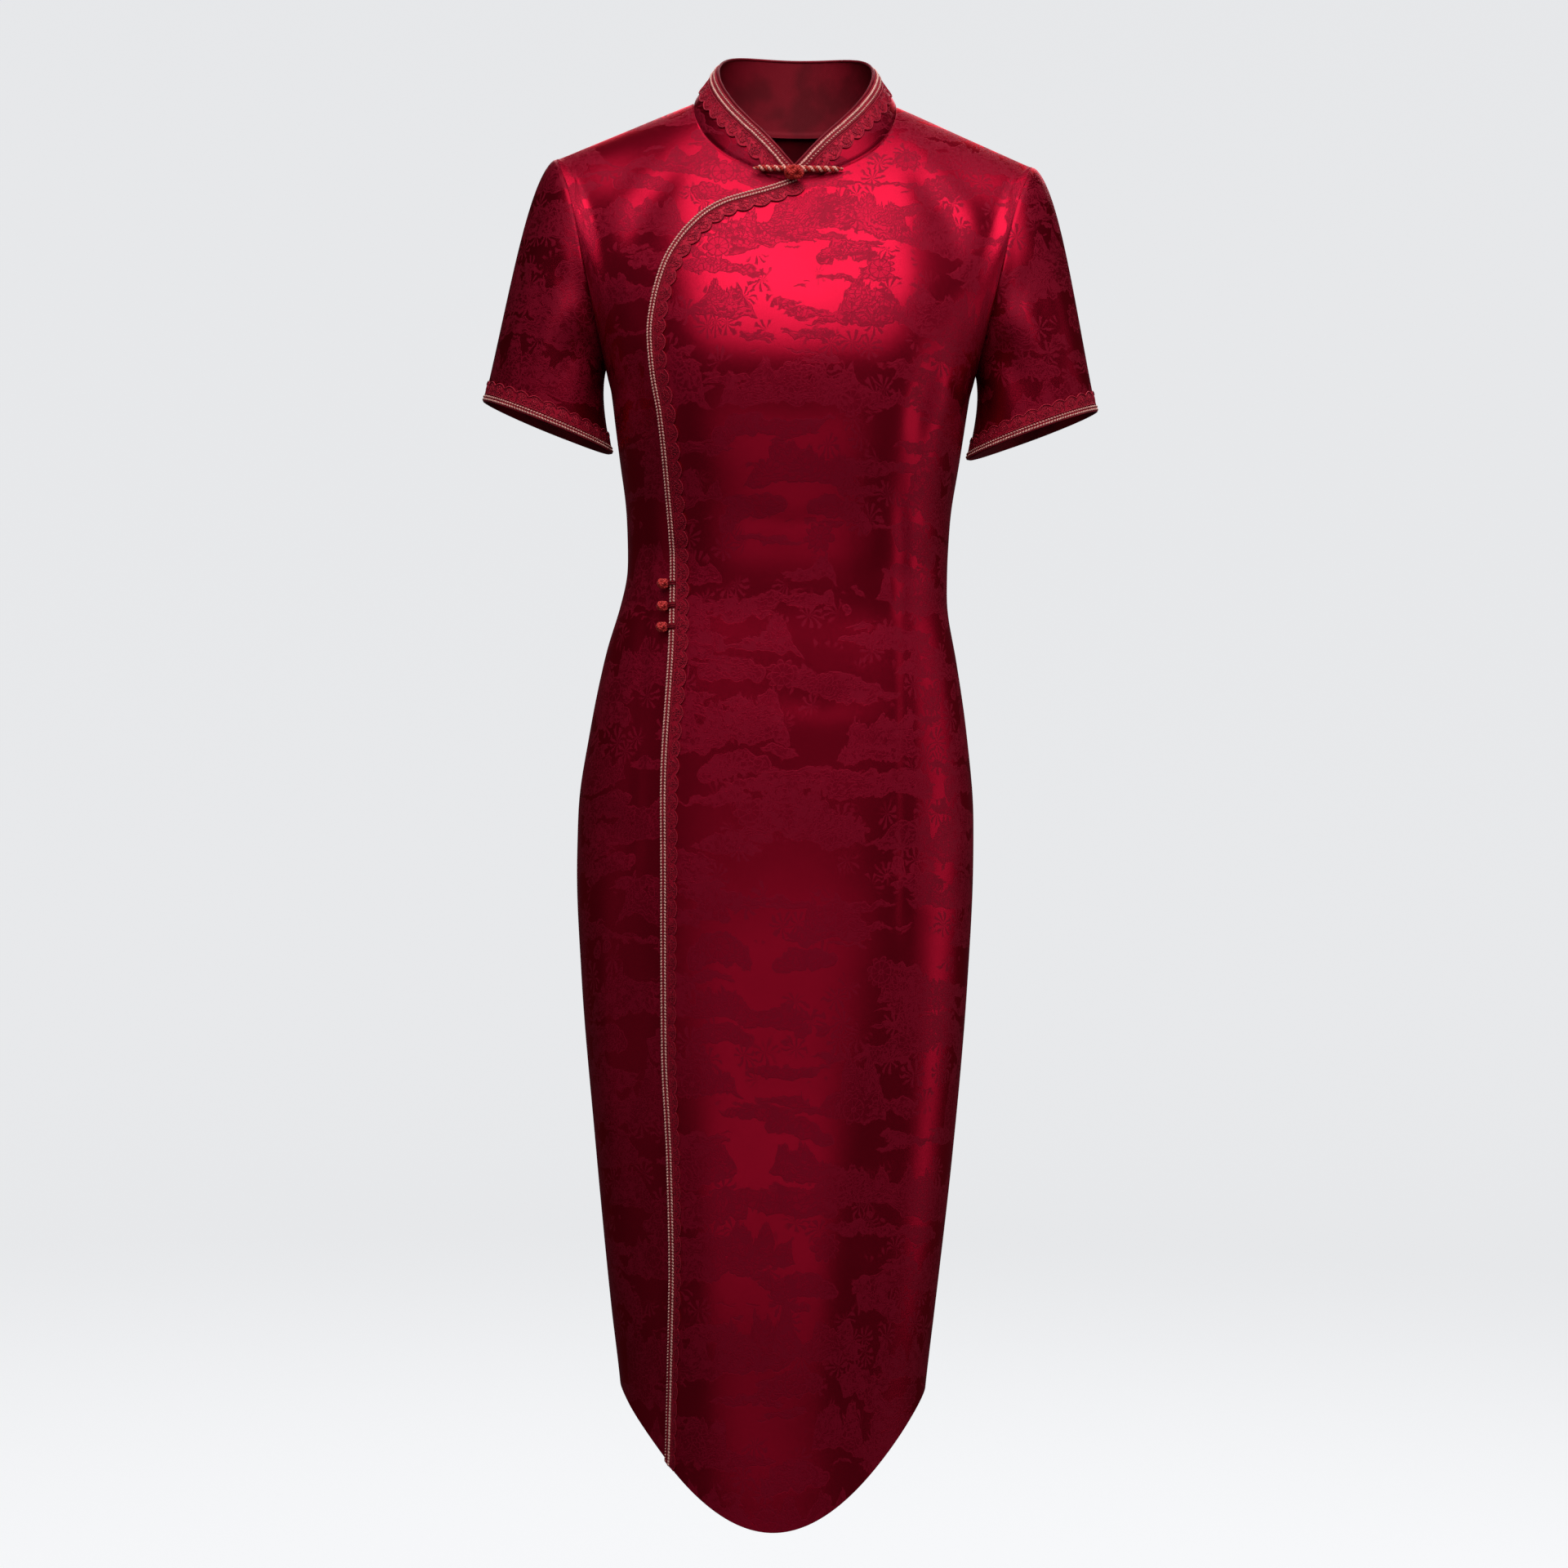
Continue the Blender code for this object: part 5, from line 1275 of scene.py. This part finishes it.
class Strip:
    """A trim's place on a sheet: lines at even distances in from its edge, and the lengths
    along that edge."""

    def __init__(self, sheet, line_at, distances, flip=False):
        cuts = [sheet.cut(*line_at(distance))[:2] for distance in distances]
        self.points, self.normals = (mirrored(np.stack(x, axis=1), flip) for x in zip(*cuts))
        self.distances = distances
        self.lengths = running_length(self.points[:, 0])
        self.long = self.lengths[-1]

    def at(self, length, distance, lift):
        """Points at lengths along the edge, distances in from it and a lift off the cloth."""
        length, distance, lift = np.broadcast_arrays(*(np.asarray(x, float) for x in (
            length, distance, lift)))
        j = np.interp(length, self.lengths, np.arange(len(self.lengths)))
        i = np.interp(distance, self.distances, np.arange(len(self.distances)))
        j0 = np.clip(j.astype(int), 0, len(self.lengths) - 2)
        i0 = np.clip(i.astype(int), 0, len(self.distances) - 2)
        tj, ti = (j - j0)[..., None], (i - i0)[..., None]

        def between(grid):
            return ((grid[j0, i0] * (1 - ti) + grid[j0, i0 + 1] * ti) * (1 - tj)
                    + (grid[j0 + 1, i0] * (1 - ti) + grid[j0 + 1, i0 + 1] * ti) * tj)
        return between(self.points) + unit(between(self.normals)) * lift[..., None]


def ribbon(strip, name, start, width, replaced, rows=500):
    """The braid's backing: a band with turned-down edges."""
    shares = np.array([0, 0.02, 0.10, 0.5, 0.90, 0.98, 1])
    crown = np.array([0.35, 0.8, 1, 1.15, 1, 0.8, 0.35])
    length, share = np.meshgrid(np.linspace(0, strip.long, rows), shares, indexing="ij")
    across = start + width * share
    outer = strip.at(length, across, BRAID_LIFT + RIBBON_THICK * crown[None])
    build = shell(outer, strip.at(length, across, BRAID_LIFT), stack(length, across))
    build.piece(name, "ribbon ribbon", [replaced], "braid", CLOTH_SHARP)


def rings(count, levels, reach, bulge=1.0):
    """Points of a round bead, ring by ring, from tip to tip."""
    rises = np.linspace(-reach, reach, levels)[:, None]
    width = np.sqrt(1 - rises ** 2) ** bulge
    turns = around(count)
    return stack(rises, width * np.cos(turns), width * np.sin(turns))


def stitches(strip, name, start, width, gaps=(), size=STITCH):
    """Two rows of slanting stitches on the braid, like a chain."""
    build = Build()
    shape = rings(8, 5, 0.97, 0.8)
    lift = BRAID_LIFT + RIBBON_THICK + size[2] * 0.35
    count = int(round(strip.long / STITCH_PITCH))
    for k in range(count):
        middle = (k + 0.5) * (strip.long / count)
        if any(low < middle < high for low, high in gaps):
            continue
        for row, way in enumerate((-1, 1)):
            across = start + width * (row + 0.5) / 2
            slant = way * STITCH_SLANT + 0.12 * math.sin(k * 2.399 + row)
            base, ahead, aside, above = strip.at(
                [middle, middle + STEP * 4, middle, middle],
                [across, across, across + STEP * 4, across], [lift, lift, lift, lift + STEP])
            along, side, up = unit(ahead - base), unit(aside - base), unit(above - base)
            heading = along * math.cos(slant) + side * math.sin(slant)
            sideways = np.cross(up, heading)
            grow = 1 + 0.10 * math.sin(k * 1.7 + row * 2.0)
            points = (base + heading * (shape[..., :1] * size[0] * grow)
                      + sideways * (shape[..., 1:2] * size[1]) + up * (shape[..., 2:] * size[2]))
            places = stack(shape[..., 1] * 0.002, shape[..., 0] * 0.002 + k * 0.01)
            build.grid(points, places, round_columns=True)
    build.piece(name, "stitch", (), "braid")


def scallop(phase):
    """Outline of one scallop: 0 in the valley, 1 on the lobe."""
    return np.abs(np.sin(math.pi * phase)) ** 0.8


def lace(strip, name, start, scallops, size, replaced, begin=0.0):
    """Scalloped lace: a net ground, and over it a heading and, in each scallop, a raised rim,
    an inner arc, spokes, an eyelet and a zigzag of thread. Its width and the depth of its
    lobes go by the length. Proportions below are shares of a scallop and of its width."""
    pitch = (strip.long - 2 * begin) / scallops

    def spot(x, y, lift):
        length = begin + x * pitch
        width, lobe = size(length)
        rim = width - lobe * (1 - scallop(x))
        return strip.at(length, start + y * rim, lift)

    x, y = np.meshgrid(np.linspace(0, scallops, scallops * 12 + 1), np.linspace(0, 1, 7),
                       indexing="ij")
    rise = NET_LIFT + NET_THICK
    ground = shell(spot(x, y, rise), spot(x, y, NET_LIFT), stack(x * pitch, y * 0.011))
    ground.piece(name + "_net", "net net", [replaced], "lace", CLOTH_SHARP)

    threads = Build()
    heading = spot(np.linspace(0, scallops, scallops * 6 + 1), 0.05, rise + 0.0002)
    tube(threads, heading, FINE_THREAD * 1.2, 5)
    for k in range(scallops):
        length = begin + (k + 0.5) * pitch
        scale = min(1.0, size(length)[0] / LACE_FULL)
        t = np.linspace(0.02, 0.98, 13)
        tube(threads, spot(k + t, 0.97, rise + 0.0003), RIM_THREAD * (0.5 + 0.5 * scale), 5)
        t = np.linspace(0.14, 0.86, 9)
        arc = 0.42 + 0.34 * scallop((t - 0.14) / 0.72)
        tube(threads, spot(k + t, arc, rise + 0.0002), FINE_THREAD * scale, 4)
        for spoke in np.linspace(-1.15, 1.15, 5):
            reach = np.linspace(0.30, 0.92, 4)
            tube(threads, spot(k + 0.5 + np.sin(spoke) * 0.40 * reach,
                               0.22 + 0.68 * np.cos(spoke) * reach, rise + 0.0002),
                 FINE_THREAD * 0.85 * scale, 4)
        turns = around(8)
        tube(threads, spot(k + 0.5 + 0.10 * np.cos(turns), 0.26 + 0.13 * np.sin(turns),
                           rise + 0.00025), FINE_THREAD * 0.9 * scale, 4, closed=True)
        zig = np.linspace(0, 1, 7)
        tube(threads, spot(k + zig, 0.06 + 0.16 * (np.arange(7) % 2), rise + 0.0001),
             FINE_THREAD * 0.8 * scale, 4)
    threads.piece(name + "_threads", "lace", (), "lace")


def button_lengths():
    """Lengths along the opening at which the waist buttons lie."""
    below = -FRONT.point(PATH_ACROSS, PATH_DOWN)[:, 2]
    return [float(np.interp(b, below, PATH_LENGTH)) for b in BUTTON_BELOWS]


def placket_trims():
    lengths = np.linspace(0, PATH_LENGTH[-1], 620)
    strip = Strip(FRONT, lambda inward: opening_line(lengths, inward), np.linspace(0, 0.020, 9))
    gaps = [(at - LOOP_HALF_GAP, at + LOOP_HALF_GAP) for at in button_lengths()]
    ribbon(strip, "placket_braid_ribbon", 0.0, BRAID_WIDTH, "placket_braid")
    stitches(strip, "placket_braid_stitches", BRAID_WIDTH / 2 - ROW_SPREAD, 2 * ROW_SPREAD, gaps)

    def size(length):
        level = np.interp(length, strip.lengths, -strip.points[:, 0, 2])
        return PLACKET_LACE.at("width", level), PLACKET_LACE.at("lobe", level)
    lace(strip, "placket_lace", BRAID_WIDTH + LACE_SPACE, PLACKET_SCALLOPS, size,
         "placket_lace")
    return strip


def collar_trims():
    turns = collar_turns(420)
    strip = Strip(COLLAR_SHEET, lambda inward: collar_line(turns, inward),
                  np.linspace(0, 0.022, 9))
    ribbon(strip, "collar_braid_ribbon", COLLAR_BRAID_FROM, COLLAR_BRAID_WIDTH - COLLAR_BRAID_FROM,
           "collar_braid")
    stitches(strip, "collar_braid_stitches", COLLAR_STITCH_FROM, 2 * ROW_SPREAD)
    lace(strip, "collar_lace", COLLAR_BRAID_WIDTH + LACE_SPACE, COLLAR_SCALLOPS,
         lambda _: COLLAR_LACE, "collar_lace", COLLAR_LACE_BEGIN)
    build = Build()
    edge = strip.at(np.linspace(0, strip.long, len(turns)), 0.0, -CLOTH / 2)
    tube(build, edge, PIPING_RADIUS, 8)
    build.piece("collar_piping", "piping", (), "collar_satin")


def cuff_trims(side, flip):
    turns = np.linspace(-math.pi, math.pi, 321)
    ones = np.ones_like(turns)
    up_arm = -SLEEVE_SHEET.slopes(turns, ones)[1]
    strip = Strip(SLEEVE_SHEET, lambda inward: SLEEVE_SHEET.slide(
        turns, ones, up_arm, inward * ones), np.linspace(0, 0.018, 8), flip)
    ribbon(strip, f"cuff_braid_{side}_ribbon", 0.0, CUFF_BRAID_WIDTH, f"cuff_braid_{side}", 321)
    stitches(strip, f"cuff_braid_{side}_stitches", CUFF_STITCH_FROM, CUFF_STITCH_WIDTH,
             size=CUFF_STITCH)
    lace(strip, f"cuff_lace_{side}", CUFF_BRAID_WIDTH + LACE_SPACE, CUFF_SCALLOPS,
         lambda _: CUFF_LACE, f"cuff_lace_{side}")


# ================================================================ closures
FROG_LEVEL, FROG_LIFT, FROG_TWIST, FROG_STRAND = -0.0635, 0.0038, 0.0062, 0.00125
FROG_START, FROG_REACH_RIGHT, FROG_REACH_LEFT = 0.04, 0.325, 0.385      # turns round the neck
FROG_CORE, FROG_WIND, FROG_TAPER = 0.0014, 0.00125, 0.006   # radii, and length of thin end
KNOT_CENTRE = np.array((0.0, -0.0711, -0.0672))
KNOT_RADII = np.array((0.0068, 0.0055, 0.0058))
KNOT_CORD, KNOT_LEADS, KNOT_BIGHTS = 0.30, 3, 4     # the cord's radius as a share of the ball's
KNOT_CORE, KNOT_TILT = 0.74, 1.10               # its core as a share, and the cord's latitude
BUTTON_RADIUS, BUTTON_OUT = 0.0041, 0.0048
LOOP_REACH, LOOP_BACK, LOOP_SPREAD, LOOP_CORD = 0.0056, 0.0012, 0.00075, 0.00072


def frog_arms():
    """Two cords twisted together on each side, level along the foot of the collar."""
    for side, way, reach in (("right", -1, FROG_REACH_RIGHT), ("left", 1, FROG_REACH_LEFT)):
        turns = math.pi / 2 + way * np.linspace(FROG_START, reach, 90)
        base, top = (collar_cut(turns % TURN, np.full_like(turns, up)) for up in (0.0, 1.0))
        share = (FROG_LEVEL - base[:, 2:]) / (top[:, 2:] - base[:, 2:])
        normal = COLLAR_SHEET.normal(np.where(way < 0, turns + TURN, turns), 0.08)
        centres = base + (top - base) * share + normal * FROG_LIFT
        length = running_length(centres)
        aside = np.cross(unit(np.gradient(centres, axis=0)), normal)
        taper = np.clip((length[-1] - length) / FROG_TAPER, 0.35, 1) ** 0.6
        build = Build()
        tube(build, centres, FROG_CORE * taper, 8)
        for strand, mark in ((0.0, 0), (0.5, 1)):
            twist = TURN * (length / FROG_TWIST + strand)
            spiral = normal * np.cos(twist)[:, None] + aside * np.sin(twist)[:, None]
            tube(build, centres + spiral * (FROG_WIND * taper)[:, None], FROG_STRAND * taper, 7,
                 mark=mark)
        build.piece(f"frog_arm_{side}_cords", "cord cream", [f"frog_arm_{side}"], "frog_cord")


def knotted_ball(name, centre, radii, replaced, key, slot):
    """A ball tied from one cord that weaves over and under itself, on a round core."""
    build = Build()
    t = around(180)
    longitude, latitude = KNOT_LEADS * t, KNOT_TILT * np.sin(KNOT_BIGHTS * t)
    weave = 1 - KNOT_CORD * 0.62 + 0.10 * np.cos(2 * KNOT_BIGHTS * t + 0.6)
    line = stack(np.cos(latitude) * np.cos(longitude), np.cos(latitude) * np.sin(longitude),
                 np.sin(latitude)) * weave[:, None]
    tube(build, centre + line * radii, KNOT_CORD * float(np.mean(radii)), 7, closed=True,
         hint=unit(line))
    core = rings(14, 9, 0.999)[..., [1, 2, 0]]
    build.grid(centre + core * radii * KNOT_CORE, stack(0.0, core[..., 2] * 0.01),
               round_columns=True)
    build.piece(name, key, [replaced], slot)


def waist_closures(strip):
    for number, length in enumerate(button_lengths(), start=1):
        edge = strip.at(length, 0.0, 0.0)
        side = unit(strip.at(length, 0.002, 0.0) - edge)
        up = unit(strip.at(length, 0.0, 0.001) - edge)
        centre = edge - side * BUTTON_OUT + up * (BUTTON_RADIUS + 0.0004 - UNDERLAP_DEPTH)
        knotted_ball(f"waist_button_{number}_ball", centre, np.full(3, BUTTON_RADIUS),
                     f"waist_button_{number}", "button", "button")
        build = Build()
        reach = np.linspace(-LOOP_BACK, LOOP_REACH, 12)
        lift = 0.0016 + 0.0006 * np.sin(math.pi * (reach + LOOP_BACK) / (LOOP_REACH + LOOP_BACK))
        for offset in (-LOOP_SPREAD, LOOP_SPREAD):
            tube(build, strip.at(length + offset, np.maximum(reach, 0.0), lift)
                 + side * np.minimum(reach, 0.0)[:, None], LOOP_CORD)
        build.piece(f"waist_loop_{number}_cords", "piping", [f"waist_loop_{number}"],
                    "collar_satin")


# ================================================================ stage, lights and camera
FLOOR_LEVEL, FLOOR_RADIUS, COVE_RADIUS, WALL_TOP = -1.40, 3.6, 1.4, 5.0
CAMERA_AWAY, CAMERA_LEVEL, CAMERA_LENS = 2.6, -0.541, 75.0
CAMERA_ROLL = math.radians(0.95)


def backdrop():
    """Pale floor that curves up into a wall all round; only the camera sees it."""
    wall = FLOOR_RADIUS + COVE_RADIUS
    floor = [(r, 0.0) for r in np.linspace(0.001, FLOOR_RADIUS, 10)]
    cove = [(FLOOR_RADIUS + COVE_RADIUS * math.sin(a), COVE_RADIUS - COVE_RADIUS * math.cos(a))
            for a in np.linspace(0.15, math.pi / 2, 12)]
    profile = np.array(floor + cove + [(wall, COVE_RADIUS + 1.0), (wall, WALL_TOP)])
    turns = around(96)
    points = stack(profile[:, :1] * np.cos(turns), profile[:, :1] * np.sin(turns),
                   profile[:, 1:] + FLOOR_LEVEL)
    finish = Finish("studio_paper", roughness=0.95, colour=(0.35, 0.35, 0.35))
    finish.use(Emission_Color=(0.93, 0.94, 0.96), Emission_Strength=0.80)
    build = Build()
    build.grid(points, points[..., :2], round_columns=True)
    mesh = build.mesh("studio_backdrop", finish.material)[0]
    mesh.shade_smooth()
    made = linked("studio_backdrop", mesh)
    made.visible_glossy = made.visible_diffuse = made.visible_shadow = False


def area_light(name, place, aim, size, watts):
    light = bpy.data.lights.new(name, "AREA")
    light.shape = "RECTANGLE"
    light.size, light.size_y = size
    light.energy = watts
    made = linked(name, light)
    made.location = place
    made.rotation_euler = (made.location - Vector(aim)).to_track_quat("Z", "Y").to_euler()
    made.visible_camera = False


def lights():
    area_light("key", (0.20, -1.68, 1.06), (0.05, -0.10, -0.20), (3.2, 1.25), 26.0)
    area_light("ceiling", (0.05, -0.80, 1.75), (0.0, -0.05, -0.2), (2.4, 1.6), 35.0)
    area_light("left_strip", (1.75, -0.12, -0.55), (0.0, 0.0, -0.60), (0.8, 1.6), 3.4)
    area_light("right_strip", (-1.75, -0.45, -0.50), (0.0, 0.0, -0.60), (0.4, 1.6), 0.3)
    area_light("floor_glow", (0.0, -1.9, -1.08), (0.0, -0.1, -0.80), (2.2, 0.6), 2.6)
    area_light("back_key", (0.2, 1.75, 1.1), (0.0, 0.1, -0.2), (2.0, 1.2), 18.0)
    world = bpy.data.worlds.new("studio_air")
    world.use_nodes = True
    air = world.node_tree.nodes["Background"].inputs
    air["Color"].default_value = (0.80, 0.84, 0.90, 1.0)
    air["Strength"].default_value = 0.06
    bpy.context.scene.world = world


def camera():
    data = bpy.data.cameras.new("camera")
    data.lens = CAMERA_LENS
    data.sensor_width = 36.0
    made = linked("camera", data)
    made.location = (0.0, -CAMERA_AWAY, CAMERA_LEVEL)
    upright = Matrix.Rotation(math.pi / 2, 3, "X")
    made.rotation_euler = (upright @ Matrix.Rotation(CAMERA_ROLL, 3, "Z")).to_euler()
    bpy.context.scene.camera = made
    bpy.context.scene.view_settings.view_transform = "Standard"


# ================================================================ the dress
camera()
front_panel()
side_front_panel()
back_panel()
for side_name, is_left in (("right", False), ("left", True)):
    sleeve(side_name, is_left)
    cuff_trims(side_name, is_left)
collar()
collar_trims()
waist_closures(placket_trims())
frog_arms()
knotted_ball("frog_knot_ball", KNOT_CENTRE, KNOT_RADII, "frog_knot", "cord", "frog_cord")
backdrop()
lights()
